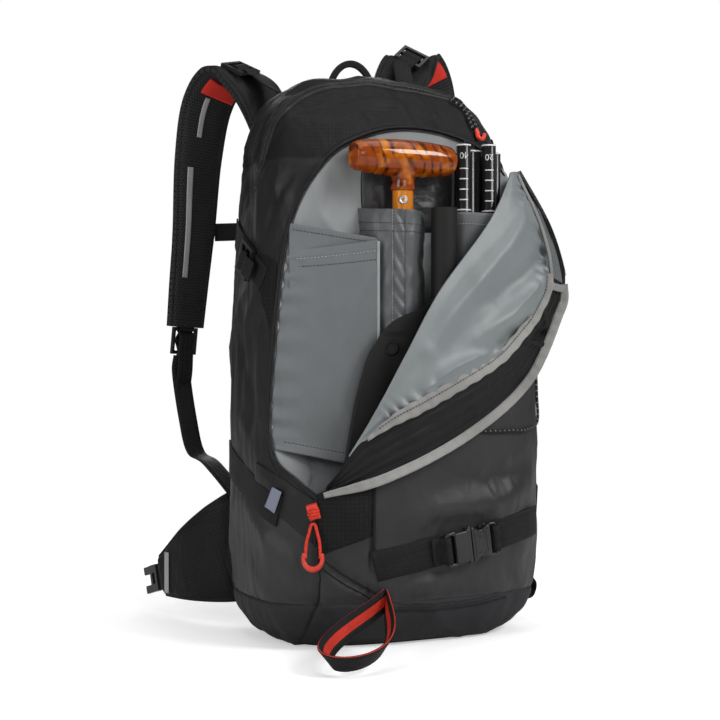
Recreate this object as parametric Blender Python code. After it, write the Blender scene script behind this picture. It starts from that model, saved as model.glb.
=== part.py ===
"""Ski touring backpack with an open tool compartment, stowed shovel and probe, harness and hip belt.

Metres, +Z up. The pack stands on its base at the origin, its front faces -Y and its back panel faces +Y.
Each sub-part is one object, and each moving body hangs from an empty on its joint's axis.
"""

import math

import bmesh
import bpy
from mathutils import Matrix, Vector

# Driving dimensions of the bag
PACK_HEIGHT = 0.570
PACK_HALF_WIDTH = 0.152
PACK_HALF_DEPTH = 0.102
WALL = 0.003
GAP = 0.0003
FRONT_SQUARENESS = 3.0
BACK_SQUARENESS = 4.0
RING_POINTS = 44

# Seams that part the shell into its panels
BASE_SEAM_Z = 0.07895 * PACK_HEIGHT
TOP_SEAM_Z = 0.82456 * PACK_HEIGHT
BACK_SEAM_Y = 0.68627 * PACK_HALF_DEPTH
FRONT_SEAM_X = -0.43421 * PACK_HALF_WIDTH
SIDE_SEAM_Y = -0.39216 * PACK_HALF_DEPTH

# Tool compartment
OPENING_YAW = math.radians(26.0)
OPENING_DEPTH_Y = -0.19608 * PACK_HALF_DEPTH
DIVIDER_Y = 0.39216 * PACK_HALF_DEPTH
DIVIDER_THICKNESS = 0.002
FRAME_SHEET_Y = 0.78431 * PACK_HALF_DEPTH
FRAME_SHEET_THICKNESS = 0.0015
ZIP_RADIUS = 0.0022
ZIP_MARGIN = 0.0045
MAIN_ZIP_Y = 0.0
MAIN_ZIP_FOOT_Z = 0.77193 * PACK_HEIGHT
SLEEVE_WALL = 0.0012
SLEEVE_CLEARANCE = 0.0008
FLAP_SEAT = 0.70

# Stowed tools
SHAFT_X = -0.09868 * PACK_HALF_WIDTH
SHAFT_Y = -0.67647 * PACK_HALF_DEPTH
SHAFT_BOTTOM_Z = 0.33333 * PACK_HEIGHT
SHAFT_TOP_Z = 0.78596 * PACK_HEIGHT
SLEEVE_TOP_Z = SHAFT_TOP_Z - 0.020
SHAFT_WIDTH = 0.030
SHAFT_DEPTH = 0.024
GRIP_LENGTH = 0.76316 * PACK_HALF_WIDTH
GRIP_RADIUS = 0.0165
BUTTON_RADIUS = 0.0045
BUTTON_Z = SHAFT_TOP_Z - 0.013
BLADE_X = 0.13158 * PACK_HALF_WIDTH
BLADE_HALF_WIDTH = 0.65789 * PACK_HALF_WIDTH
BLADE_BOTTOM_Z = 0.26316 * PACK_HEIGHT
BLADE_SHOULDER_Z = 0.54386 * PACK_HEIGHT
BLADE_Y = -0.93627 * PACK_HALF_DEPTH
BLADE_CROWN = 0.16863 * PACK_HALF_DEPTH
BLADE_THICKNESS = 0.002
SOCKET_RADIUS = 0.0150
SOCKET_TOP_Z = 0.74386 * PACK_HEIGHT
PROBE_PITCH = 0.08026 * PACK_HALF_WIDTH
PROBE_RADIUS = 0.541 * PROBE_PITCH
PROBE_FIRST_X = 0.35 * PACK_HALF_WIDTH
PROBE_Y = -0.61275 * PACK_HALF_DEPTH
PROBE_TUBES = 4
PROBE_BOTTOM_Z = 0.17544 * PACK_HEIGHT
PROBE_TOP_Z = 0.86316 * PACK_HEIGHT

# Webbing, buckles and padding
WEBBING_WIDTH = 0.025
WEBBING_THICKNESS = 0.0016
STRAP_WIDTH = 0.062
STRAP_THICKNESS = 0.014
WING_THICKNESS = 0.012
WING_ROOT_WIDTH = 0.118
WING_TIP_WIDTH = 0.046
PAD_THICKNESS = 0.016
BUCKLE_WALL = 0.0030
LOCK_LENGTH = 0.030
LOCK_THICKNESS = 0.0040

# The shell's outline: height, half width, half depth and centre as shares of the pack's sizes
PROFILE = (
    (0.000, 0.760, 0.700, 0.00),
    (0.026, 0.885, 0.855, 0.00),
    (0.079, 0.972, 0.960, -0.02),
    (0.263, 1.000, 1.000, -0.05),
    (0.526, 0.987, 0.965, -0.02),
    (0.737, 0.930, 0.870, 0.08),
    (0.825, 0.885, 0.780, 0.157),
    (0.881, 0.835, 0.680, 0.226),
    (0.928, 0.760, 0.545, 0.300),
    (0.965, 0.615, 0.400, 0.350),
    (0.986, 0.430, 0.250, 0.370),
    (1.000, 0.010, 0.010, 0.380),
)

# The zip's line and the flap's sewn edge, from the slider round to the top right:
# across the opening and up it, as shares of the half width and the height
ZIP_SHARES = (
    (-0.42105, 0.25263),
    (-0.55921, 0.28246),
    (-0.69079, 0.31228),
    (-0.73684, 0.35965),
    (-0.73684, 0.42105),
    (-0.70395, 0.53333),
    (-0.64474, 0.66667),
    (-0.54605, 0.75439),
    (-0.35526, 0.82982),
    (-0.16447, 0.86491),
    (0.05263, 0.88596),
    (0.30263, 0.88772),
    (0.55921, 0.87018),
    (0.73684, 0.84386),
    (0.81579, 0.81579),
)
SEWN_SHARES = (
    (0.84539, 0.77193),
    (0.84539, 0.70175),
    (0.81579, 0.63158),
    (0.68421, 0.52632),
    (0.39474, 0.40351),
    (0.0, 0.31228),
)
ZIP_LINE = [(u * PACK_HALF_WIDTH, z * PACK_HEIGHT) for u, z in ZIP_SHARES]
SEWN_EDGE = [(u * PACK_HALF_WIDTH, z * PACK_HEIGHT) for u, z in SEWN_SHARES]

# Colours, roughness and metallic value of each finish
FINISHES = {
    "ripstop_black": ((0.012, 0.012, 0.013), 0.62, 0.0),
    "coated_charcoal": ((0.035, 0.035, 0.038), 0.55, 0.0),
    "lining_grey": ((0.165, 0.185, 0.195), 0.55, 0.0),
    "spacer_mesh": ((0.010, 0.010, 0.011), 0.85, 0.0),
    "webbing_black": ((0.011, 0.011, 0.012), 0.75, 0.0),
    "buckle_plastic": ((0.014, 0.014, 0.015), 0.35, 0.0),
    "zip_black": ((0.008, 0.008, 0.009), 0.45, 0.0),
    "pull_red": ((0.62, 0.035, 0.016), 0.45, 0.0),
    "amber_plastic": ((0.52, 0.15, 0.010), 0.12, 0.0),
    "orange_alloy": ((0.72, 0.26, 0.02), 0.35, 0.6),
    "steel": ((0.60, 0.60, 0.62), 0.30, 1.0),
    "blade_grey": ((0.050, 0.048, 0.046), 0.42, 0.3),
    "probe_black": ((0.008, 0.008, 0.009), 0.22, 0.2),
    "pouch_grey": ((0.060, 0.062, 0.066), 0.25, 0.0),
    "sheet_plastic": ((0.55, 0.55, 0.53), 0.50, 0.0),
}

FRONT, BACK = -1, 1
LEFT, RIGHT = -1, 1
ACROSS = Vector((math.cos(OPENING_YAW), -math.sin(OPENING_YAW), 0.0))
INWARD = Vector((math.sin(OPENING_YAW), math.cos(OPENING_YAW), 0.0))
UP = Vector((0.0, 0.0, 1.0))
FAR = 2 * PACK_HEIGHT


def on_bag(x, y, z):
    """A place given as shares of the bag's half width, half depth and height."""
    return Vector((x * PACK_HALF_WIDTH, y * PACK_HALF_DEPTH, z * PACK_HEIGHT))


def clear_scene():
    for old in list(bpy.data.objects):
        bpy.data.objects.remove(old)


def finish(name):
    """The material of that name, made once."""
    made = bpy.data.materials.get(name)
    if made is None:
        colour, roughness, metallic = FINISHES[name]
        made = bpy.data.materials.new(name)
        made.use_nodes = True
        shader = made.node_tree.nodes["Principled BSDF"]
        shader.inputs["Base Color"].default_value = (*colour, 1.0)
        shader.inputs["Roughness"].default_value = roughness
        shader.inputs["Metallic"].default_value = metallic
    return made


def new_object(name, bm, material, smooth_angle=40.0):
    """A named object from a bmesh, with its faces turned out and shaded by angle."""
    bmesh.ops.recalc_face_normals(bm, faces=bm.faces)
    mesh = bpy.data.meshes.new(name)
    bm.to_mesh(mesh)
    bm.free()
    mesh.shade_smooth()
    mesh.set_sharp_from_angle(angle=math.radians(smooth_angle))
    obj = bpy.data.objects.new(name, mesh)
    bpy.context.scene.collection.objects.link(obj)
    if material:
        mesh.materials.append(finish(material))
    return obj


def helper(obj):
    """Marks a cutter, which isn't a piece of the object."""
    obj.hide_render = True
    obj.display_type = "WIRE"
    return obj


def boolean(obj, cutter, operation):
    modifier = obj.modifiers.new(operation.lower() + "_" + cutter.name, "BOOLEAN")
    modifier.operation = operation
    modifier.solver = "EXACT"
    modifier.object = cutter
    return obj


PIVOTS = {}


def pivot(name, place, axis, members, parent=None):
    """An empty on a joint, its x along the joint's axis, that carries the body's pieces or a later pivot."""
    axis = Vector(axis).normalized()
    matrix = Matrix.Translation(Vector(place)) @ axis.to_track_quat("X", "Z").to_matrix().to_4x4()
    empty = bpy.data.objects.new(name, None)
    bpy.context.scene.collection.objects.link(empty)
    empty.parent = parent
    empty.matrix_basis = PIVOTS[parent.name].inverted() @ matrix if parent else matrix
    PIVOTS[name] = matrix
    for obj in members:
        obj.data.transform(matrix.inverted())
        obj.parent = empty
    return empty


def smooth_line(points, steps):
    """Points along a smooth curve through the given ones, with that many steps to each stretch."""
    points = [Vector(p) for p in points]
    padded = [2 * points[0] - points[1], *points, 2 * points[-1] - points[-2]]
    line = []
    for a, b, c, d in zip(padded, padded[1:], padded[2:], padded[3:]):
        for k in range(steps):
            t = k / steps
            square, cube = 2 * a - 5 * b + 4 * c - d, 3 * b - a - 3 * c + d
            line.append(0.5 * (2 * b + (c - a) * t + square * t**2 + cube * t**3))
    line.append(points[-1])
    return line


def section(z):
    """Half width, half depth and centre y of the shell at a height."""
    share = min(max(z / PACK_HEIGHT, 0.0), 1.0)
    for low, high in zip(PROFILE, PROFILE[1:]):
        if share <= high[0]:
            break
    t = (share - low[0]) / (high[0] - low[0])
    width, depth, centre = (a + (b - a) * t for a, b in zip(low[1:], high[1:]))
    return width * PACK_HALF_WIDTH, depth * PACK_HALF_DEPTH, centre * PACK_HALF_DEPTH


def squareness(side):
    return FRONT_SQUARENESS if side == FRONT else BACK_SQUARENESS


def skin_y(x, z, side, out=0.0):
    """y of the shell's outside at x and z, on its front or back, pushed out by a distance."""
    width, depth, centre = section(z)
    power = squareness(side)
    rest = max(0.0, 1.0 - abs(x / (width + out)) ** power)
    return centre + side * (depth + out) * rest ** (1.0 / power)


def skin_x(y, z, side, out=0.0):
    """x of the shell's outside at y and z, on its left or right, pushed out by a distance."""
    width, depth, centre = section(z)
    power = squareness(BACK if y > centre else FRONT)
    rest = max(0.0, 1.0 - abs((y - centre) / (depth + out)) ** power)
    return side * (width + out) * rest ** (1.0 / power)


def fullness(point):
    """Below one inside the shell, one on its outside and above one beyond it."""
    width, depth, centre = section(point.z)
    power = squareness(BACK if point.y > centre else FRONT)
    return abs(point.x / width) ** power + abs((point.y - centre) / depth) ** power


def skin_normal(point):
    """The direction straight out of the shell at a point of its outside."""
    step = 0.0005
    slopes = []
    for axis in (Vector((1, 0, 0)), Vector((0, 1, 0)), UP):
        slopes.append(fullness(point + axis * step) - fullness(point - axis * step))
    return Vector(slopes).normalized()


def off_skin(point, out):
    """A point of the shell's outside, moved straight out by a distance."""
    return point + skin_normal(point) * out


def skin_along(start, end):
    """Where a line from beyond the shell first meets its outside."""
    steps = 120
    for k in range(steps):
        if fullness(start.lerp(end, (k + 1) / steps)) <= 1.0:
            break
    outer, inner = k / steps, (k + 1) / steps
    for _ in range(24):
        middle = 0.5 * (outer + inner)
        if fullness(start.lerp(end, middle)) <= 1.0:
            inner = middle
        else:
            outer = middle
    return start.lerp(end, outer)


def on_opening(across, z):
    """The point of the shell's outside that is that far across the opening, at a height."""
    level = ACROSS * across + UP * z
    return skin_along(level - INWARD * 0.3, level + INWARD * 0.2)


def ring_heights():
    """Heights of the shell's rings: the profile's own, with one more between those that are far apart."""
    heights = []
    for low, high in zip(PROFILE, PROFILE[1:]):
        heights.append(low[0] * PACK_HEIGHT)
        if high[0] - low[0] > 0.15:
            heights.append(0.5 * (low[0] + high[0]) * PACK_HEIGHT)
    return heights


def shell_solid(name, inset):
    """The bag's whole outside, taken in all round by a distance."""
    bm = bmesh.new()
    rings = []
    for z in ring_heights():
        width, depth, centre = section(z)
        height = inset + z * (PACK_HEIGHT - 2 * inset) / PACK_HEIGHT
        ring = []
        for k in range(RING_POINTS):
            angle = 2 * math.pi * k / RING_POINTS
            power = 2.0 / squareness(BACK if math.sin(angle) > 0 else FRONT)
            x = math.copysign(abs(math.cos(angle)) ** power, math.cos(angle)) * (width - inset)
            y = math.copysign(abs(math.sin(angle)) ** power, math.sin(angle)) * (depth - inset)
            ring.append(bm.verts.new((x, centre + y, height)))
        rings.append(ring)
    for lower, upper in zip(rings, rings[1:]):
        for k in range(RING_POINTS):
            n = (k + 1) % RING_POINTS
            bm.faces.new((lower[k], lower[n], upper[n], upper[k]))
    top = bm.verts.new((0.0, PROFILE[-1][3] * PACK_HALF_DEPTH, PACK_HEIGHT - inset))
    for k in range(RING_POINTS):
        bm.faces.new((rings[-1][k], rings[-1][(k + 1) % RING_POINTS], top))
    bm.faces.new(list(reversed(rings[0])))
    return new_object(name, bm, None)


def block(name, low, high, material=None):
    """A plain box between two corners."""
    bm = bmesh.new()
    low, high = Vector(low), Vector(high)
    bmesh.ops.create_cube(bm, size=1.0)
    for v in bm.verts:
        v.co = Vector(lo + (c + 0.5) * (hi - lo) for c, lo, hi in zip(v.co, low, high))
    return new_object(name, bm, material)


def loft(name, rings, material, smooth_angle=40.0):
    """A closed solid through rings of equal length, with flat ends."""
    bm = bmesh.new()
    made = [[bm.verts.new(p) for p in ring] for ring in rings]
    count = len(rings[0])
    for lower, upper in zip(made, made[1:]):
        for k in range(count):
            n = (k + 1) % count
            bm.faces.new((lower[k], lower[n], upper[n], upper[k]))
    bm.faces.new(list(reversed(made[0])))
    bm.faces.new(made[-1])
    return new_object(name, bm, material, smooth_angle)


def cells(name, xs, ys, zs, filled, material, place=None):
    """A solid made of the filled cells of a grid of planes, such as a frame, cup or buckle."""
    nx, ny, nz = len(xs) - 1, len(ys) - 1, len(zs) - 1
    full = {(i, j, k) for i in range(nx) for j in range(ny) for k in range(nz) if filled(i, j, k)}
    corners = {
        (1, 0, 0): ((1, 0, 0), (1, 1, 0), (1, 1, 1), (1, 0, 1)),
        (-1, 0, 0): ((0, 0, 0), (0, 0, 1), (0, 1, 1), (0, 1, 0)),
        (0, 1, 0): ((0, 1, 0), (0, 1, 1), (1, 1, 1), (1, 1, 0)),
        (0, -1, 0): ((0, 0, 0), (1, 0, 0), (1, 0, 1), (0, 0, 1)),
        (0, 0, 1): ((0, 0, 1), (1, 0, 1), (1, 1, 1), (0, 1, 1)),
        (0, 0, -1): ((0, 0, 0), (0, 1, 0), (1, 1, 0), (1, 0, 0)),
    }
    bm = bmesh.new()
    verts = {}
    for i, j, k in sorted(full):
        for (di, dj, dk), face in corners.items():
            if (i + di, j + dj, k + dk) in full:
                continue
            loop = []
            for a, b, c in face:
                key = (i + a, j + b, k + c)
                if key not in verts:
                    verts[key] = bm.verts.new((xs[key[0]], ys[key[1]], zs[key[2]]))
                loop.append(verts[key])
            bm.faces.new(loop)
    if place is not None:
        bm.transform(place)
    return new_object(name, bm, material)


def frame_at(place, along, outward):
    """A matrix whose x runs along a strap, y out of the bag and z across the strap."""
    x = Vector(along).normalized()
    y = Vector(outward)
    y = (y - x * y.dot(x)).normalized()
    z = x.cross(y)
    return Matrix.Translation(Vector(place)) @ Matrix((x, y, z)).transposed().to_4x4()


def ribbon(name, line, outward, width, thickness, material, round_edge=False):
    """A strap along a line, with its face's direction at each point, and one width or one for each point."""
    rings = []
    count = len(line)
    widths = width if isinstance(width, (list, tuple)) else [width] * count
    for k, point in enumerate(line):
        along = line[min(k + 1, count - 1)] - line[max(k - 1, 0)]
        place = frame_at(point, along, outward[k])
        half, thin = 0.5 * widths[k], 0.5 * thickness
        if round_edge:
            flat = [
                (-half, 0.0),
                (-0.86 * half, 0.72 * thin),
                (-0.45 * half, thin),
                (0.45 * half, thin),
                (0.86 * half, 0.72 * thin),
                (half, 0.0),
                (0.86 * half, -0.72 * thin),
                (0.45 * half, -thin),
                (-0.45 * half, -thin),
                (-0.86 * half, -0.72 * thin),
            ]
        else:
            flat = [(-half, thin), (half, thin), (half, -thin), (-half, -thin)]
        rings.append([place @ Vector((0.0, y, z)) for z, y in flat])
    return loft(name, rings, material)


def cord(name, points, radius, material, closed=False, roundness=1):
    """A round cord through points, as a curve with a bevel."""
    curve = bpy.data.curves.new(name, "CURVE")
    curve.dimensions = "3D"
    curve.bevel_depth = radius
    curve.bevel_resolution = roundness
    curve.use_fill_caps = True
    spline = curve.splines.new("POLY")
    spline.points.add(len(points) - 1)
    for target, point in zip(spline.points, points):
        target.co = (*point, 1.0)
    spline.use_cyclic_u = closed
    curve.materials.append(finish(material))
    obj = bpy.data.objects.new(name, curve)
    bpy.context.scene.collection.objects.link(obj)
    return obj


def turned(name, centre, axis, profile, material, sides=16):
    """A solid turned about an axis through centre, from pairs of distance along it and radius."""
    axis = Vector(axis).normalized()
    side = axis.orthogonal().normalized()
    other = axis.cross(side)
    rings = []
    for along, radius in profile:
        ring = []
        for k in range(sides):
            angle = 2 * math.pi * k / sides
            spoke = math.cos(angle) * side + math.sin(angle) * other
            ring.append(Vector(centre) + axis * along + radius * spoke)
        rings.append(ring)
    return loft(name, rings, material)


def opening_prism():
    """The cutter of the tool compartment's opening, square to the yawed front."""
    zip_points = smooth_line([(u, z, 0.0) for u, z in ZIP_LINE], 3)
    sewn_points = smooth_line([(u, z, 0.0) for u, z in (ZIP_LINE[-1], *SEWN_EDGE, ZIP_LINE[0])], 3)
    outline = zip_points + sewn_points[1:-1]
    rings = []
    for end in (FRONT, BACK):
        ring = []
        for u, z, _ in outline:
            if end == FRONT:
                point = ACROSS * u - INWARD * FAR
            else:
                inward = (OPENING_DEPTH_Y - ACROSS.y * u) / INWARD.y
                point = ACROSS * u + INWARD * inward
            ring.append(Vector((point.x, point.y, z)))
        rings.append(ring)
    return helper(loft("cut_opening", rings, None))


def shell_panel(name, low, high, material, inner, opening=None):
    """One panel of the shell: what lies between two corners, less the inside and the opening."""
    panel = shell_solid(name, 0.0)
    panel.data.materials.append(finish(material))
    boolean(panel, inner, "DIFFERENCE")
    boolean(panel, helper(block("cut_" + name, low, high)), "INTERSECT")
    if opening:
        boolean(panel, opening, "DIFFERENCE")
    return panel


def build_shell(inner, opening):
    half = 0.5 * GAP
    low_z, high_z = BASE_SEAM_Z + half, TOP_SEAM_Z - half
    back_y = BACK_SEAM_Y - half
    shell_panel("base_panel", (-FAR, -FAR, -FAR), (FAR, FAR, BASE_SEAM_Z - half), "coated_charcoal", inner)
    shell_panel("back_panel", (-FAR, BACK_SEAM_Y + half, low_z), (FAR, FAR, FAR), "spacer_mesh", inner)
    low, high = (-FAR, -FAR, low_z), (FRONT_SEAM_X - half, back_y, high_z)
    shell_panel("left_side_panel", low, high, "ripstop_black", inner, opening)
    low, high = (0.0, SIDE_SEAM_Y + half, low_z), (FAR, back_y, high_z)
    shell_panel("right_side_panel", low, high, "ripstop_black", inner, opening)
    low, high = (FRONT_SEAM_X + half, -FAR, low_z), (FAR, SIDE_SEAM_Y - half, high_z)
    shell_panel("front_panel", low, high, "coated_charcoal", inner, opening)
    low, high = (-FAR, -FAR, TOP_SEAM_Z + half), (FAR, back_y, FAR)
    shell_panel("top_panel", low, high, "ripstop_black", inner, opening)


def inner_sheet(name, y, thickness, low_z, high_z, material):
    """A sheet across the inside of the bag, with its edges at the shell's inner face."""
    sheet = shell_solid(name, WALL + GAP)
    sheet.data.materials.append(finish(material))
    boolean(sheet, helper(block("cut_" + name, (-FAR, y, low_z), (FAR, y + thickness, high_z))), "INTERSECT")
    return sheet


def back_pad(name, heights, half_width, channel, outer):
    """A foam pad on the back panel, crowned, drawn in at its sides, with an air channel down its middle.
    Its two heights, half width and channel are shares of the bag's height and half width."""
    low_z, high_z = (share * PACK_HEIGHT for share in heights)
    half_width, channel = half_width * PACK_HALF_WIDTH, channel * PACK_HALF_WIDTH
    rings = []
    rows = 6
    for k in range(rows + 1):
        t = k / rows
        z = low_z + (high_z - low_z) * t
        crown = math.sin(math.pi * min(max(t, 0.04), 0.96)) ** 0.45
        half = half_width * (0.90 + 0.10 * crown)
        base = skin_y(0.0, z, BACK)
        top = base + PAD_THICKNESS * crown
        dip = base + PAD_THICKNESS * crown * 0.45
        edge = base + 0.35 * PAD_THICKNESS * crown
        across = ((-half, edge), (-0.82 * half, top), (-channel, top), (-0.5 * channel, dip))
        face = [(x, y) for x, y in across] + [(-x, y) for x, y in reversed(across)]
        inner_y = base - 2 * PAD_THICKNESS
        rings.append([Vector((x, y, z)) for x, y in [(-half, inner_y), *face, (half, inner_y)]])
    pad = loft(name, rings, "spacer_mesh")
    return boolean(pad, outer, "DIFFERENCE")


def build_back(outer_clear):
    inner_sheet("divider_wall", DIVIDER_Y, DIVIDER_THICKNESS, WALL + GAP, PACK_HEIGHT, "lining_grey")
    inner_sheet(
        "frame_sheet", FRAME_SHEET_Y, FRAME_SHEET_THICKNESS, BASE_SEAM_Z + GAP, TOP_SEAM_Z, "sheet_plastic"
    )
    back_pad("back_pad", (0.30702, 0.74561), 0.69079, 0.14474, outer_clear)
    back_pad("lumbar_pad", (0.10526, 0.28947), 0.625, 0.11842, outer_clear)


def build_sleeves(inner_clear):
    """The tool sleeves on the divider, and the stuffed pouch behind the grip."""
    left = SHAFT_X - 0.5 * SHAFT_WIDTH - SLEEVE_CLEARANCE - SLEEVE_WALL
    right = SHAFT_X + 0.5 * SHAFT_WIDTH + SLEEVE_CLEARANCE + SLEEVE_WALL
    front = SHAFT_Y - 0.5 * SHAFT_DEPTH - SLEEVE_CLEARANCE - SLEEVE_WALL
    floor = SHAFT_BOTTOM_Z - SLEEVE_CLEARANCE - SLEEVE_WALL
    back = SHAFT_Y + 0.5 * SHAFT_DEPTH + SLEEVE_CLEARANCE
    cup("handle_sleeve", left, right, front, back, floor)
    left = PROBE_FIRST_X - PROBE_RADIUS - SLEEVE_CLEARANCE - SLEEVE_WALL
    right = PROBE_FIRST_X + (PROBE_TUBES - 1) * PROBE_PITCH + PROBE_RADIUS + SLEEVE_CLEARANCE + SLEEVE_WALL
    front = PROBE_Y - 0.5 * PROBE_PITCH - PROBE_RADIUS - SLEEVE_CLEARANCE - SLEEVE_WALL
    back = PROBE_Y + 0.5 * PROBE_PITCH + PROBE_RADIUS + SLEEVE_CLEARANCE
    sleeve = cup("probe_sleeve", left, right, front, back, PROBE_BOTTOM_Z - SLEEVE_CLEARANCE - SLEEVE_WALL)
    boolean(sleeve, inner_clear, "INTERSECT")

    flat = FAR * 0.5
    low_z, high_z, thick = 0.30175 * PACK_HEIGHT, 0.69123 * PACK_HEIGHT, WALL
    near = on_bag(-0.28618, -0.7598, 0.0)
    along = on_bag(-0.65132, 0.5098, 0.0).normalized()
    across = Vector((-along.y, along.x, 0.0))
    corners = [near, near + along * flat, near + along * flat + across * thick, near + across * thick]
    ends = [[c + UP * z for c in corners] for z in (low_z, high_z)]
    sleeve = loft("blade_sleeve", ends, "lining_grey")
    boolean(sleeve, inner_clear, "INTERSECT")

    sack = on_bag(0.02632, 0.0, 0.78246)
    half = on_bag(0.34211, 0.0, 0.0807)
    back = DIVIDER_Y - GAP
    front = SHAFT_Y + GRIP_RADIUS + 0.003
    rings = []
    for t in (0.0, 0.18, 0.5, 0.82, 1.0):
        swell = 0.80 + 0.20 * math.sin(math.pi * t)
        y = front + (back - front) * t
        ring = []
        for k in range(14):
            angle = 2 * math.pi * k / 14
            x = math.copysign(abs(math.cos(angle)) ** 0.6, math.cos(angle)) * half.x * swell
            z = math.copysign(abs(math.sin(angle)) ** 0.6, math.sin(angle)) * half.z * swell
            ring.append(Vector((sack.x + x, y, sack.z + z)))
        rings.append(ring)
    loft("stuff_sack", rings, "pouch_grey")


def cup(name, left, right, front, back, floor):
    """A sleeve open at its top. Its sides and floor run back to the divider, and an inner wall closes it."""
    rear = DIVIDER_Y - GAP
    xs = (left, left + SLEEVE_WALL, right - SLEEVE_WALL, right)
    ys = (front, front + SLEEVE_WALL, back, back + SLEEVE_WALL, rear)
    zs = (floor, floor + SLEEVE_WALL, SLEEVE_TOP_Z)

    def filled(i, j, k):
        wall = i != 1 or j in (0, 2) or k == 0
        return wall and (j < 3 or k == 0)

    return cells(name, xs, ys, zs, filled, "lining_grey")


def build_tools():
    """Shovel grip, shaft, button and blade, and the folded probe."""
    grip_z = SHAFT_TOP_Z + GAP + 0.007 + GRIP_RADIUS
    half = 0.5 * GRIP_LENGTH
    bar = turned(
        "shovel_grip",
        (SHAFT_X, SHAFT_Y, grip_z),
        (1, 0, 0),
        [
            (-half, 0.62 * GRIP_RADIUS),
            (-half + 0.004, 0.88 * GRIP_RADIUS),
            (-0.5 * half, 0.97 * GRIP_RADIUS),
            (0.0, GRIP_RADIUS),
            (0.5 * half, 0.97 * GRIP_RADIUS),
            (half - 0.004, 0.88 * GRIP_RADIUS),
            (half, 0.62 * GRIP_RADIUS),
        ],
        "amber_plastic",
        12,
    )
    neck = loft(
        "grip_neck",
        [
            oval(SHAFT_X, SHAFT_Y, SHAFT_TOP_Z + GAP, 0.5 * SHAFT_WIDTH, 0.5 * SHAFT_DEPTH),
            oval(SHAFT_X, SHAFT_Y, grip_z - 0.4 * GRIP_RADIUS, 0.55 * SHAFT_WIDTH, 0.52 * SHAFT_DEPTH),
        ],
        None,
    )
    boolean(bar, helper(neck), "UNION")

    shaft = loft(
        "shovel_shaft",
        [
            oval(SHAFT_X, SHAFT_Y, SHAFT_BOTTOM_Z, 0.5 * SHAFT_WIDTH, 0.5 * SHAFT_DEPTH),
            oval(SHAFT_X, SHAFT_Y, SHAFT_TOP_Z, 0.5 * SHAFT_WIDTH, 0.5 * SHAFT_DEPTH),
        ],
        "orange_alloy",
    )
    front = SHAFT_Y - 0.5 * SHAFT_DEPTH
    depth = 0.006
    bore = pin(BUTTON_RADIUS + GAP, depth + 0.007)
    hole = turned("cut_button", (SHAFT_X, front - 0.004, BUTTON_Z), (0, 1, 0), bore, None, 12)
    boolean(shaft, helper(hole), "DIFFERENCE")
    stud = pin(BUTTON_RADIUS, depth - 0.0015)
    button = turned("shaft_button", (SHAFT_X, front - 0.0012, BUTTON_Z), (0, 1, 0), stud, "steel", 12)

    build_blade()
    rows = [(k, 0) for k in range(PROBE_TUBES)] + [(k, 1) for k in range(PROBE_TUBES)]
    probe = None
    for n, (k, row) in enumerate(rows):
        place = (PROBE_FIRST_X + k * PROBE_PITCH, PROBE_Y + (row - 0.5) * PROBE_PITCH, PROBE_BOTTOM_Z)
        drop = 0.006 * row + 0.003 * (k % 2)
        shape = pin(PROBE_RADIUS, PROBE_TOP_Z - PROBE_BOTTOM_Z - drop)
        tube = turned("probe" if n == 0 else f"probe_tube_{n}", place, (0, 0, 1), shape, "probe_black", 10)
        if n == 0:
            probe = tube
        else:
            boolean(probe, helper(tube), "UNION")
    shovel = pivot("shovel_lift", (SHAFT_X, SHAFT_Y, SHAFT_BOTTOM_Z), UP, [bar, shaft])
    pivot("button_press", (SHAFT_X, front, BUTTON_Z), (0, 1, 0), [button], shovel)
    pivot("probe_lift", (PROBE_FIRST_X, PROBE_Y, PROBE_BOTTOM_Z), UP, [probe])


def pin(radius, length):
    return [(0.0, radius), (length, radius)]


def oval(x, y, z, half_x, half_y, points=16):
    """A ring of points with rounded sides, level, at a height."""
    ring = []
    for k in range(points):
        angle = 2 * math.pi * k / points
        dx = math.copysign(abs(math.cos(angle)) ** 0.8, math.cos(angle)) * half_x
        dy = math.copysign(abs(math.sin(angle)) ** 0.8, math.sin(angle)) * half_y
        ring.append(Vector((x + dx, y + dy, z)))
    return ring


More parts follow.
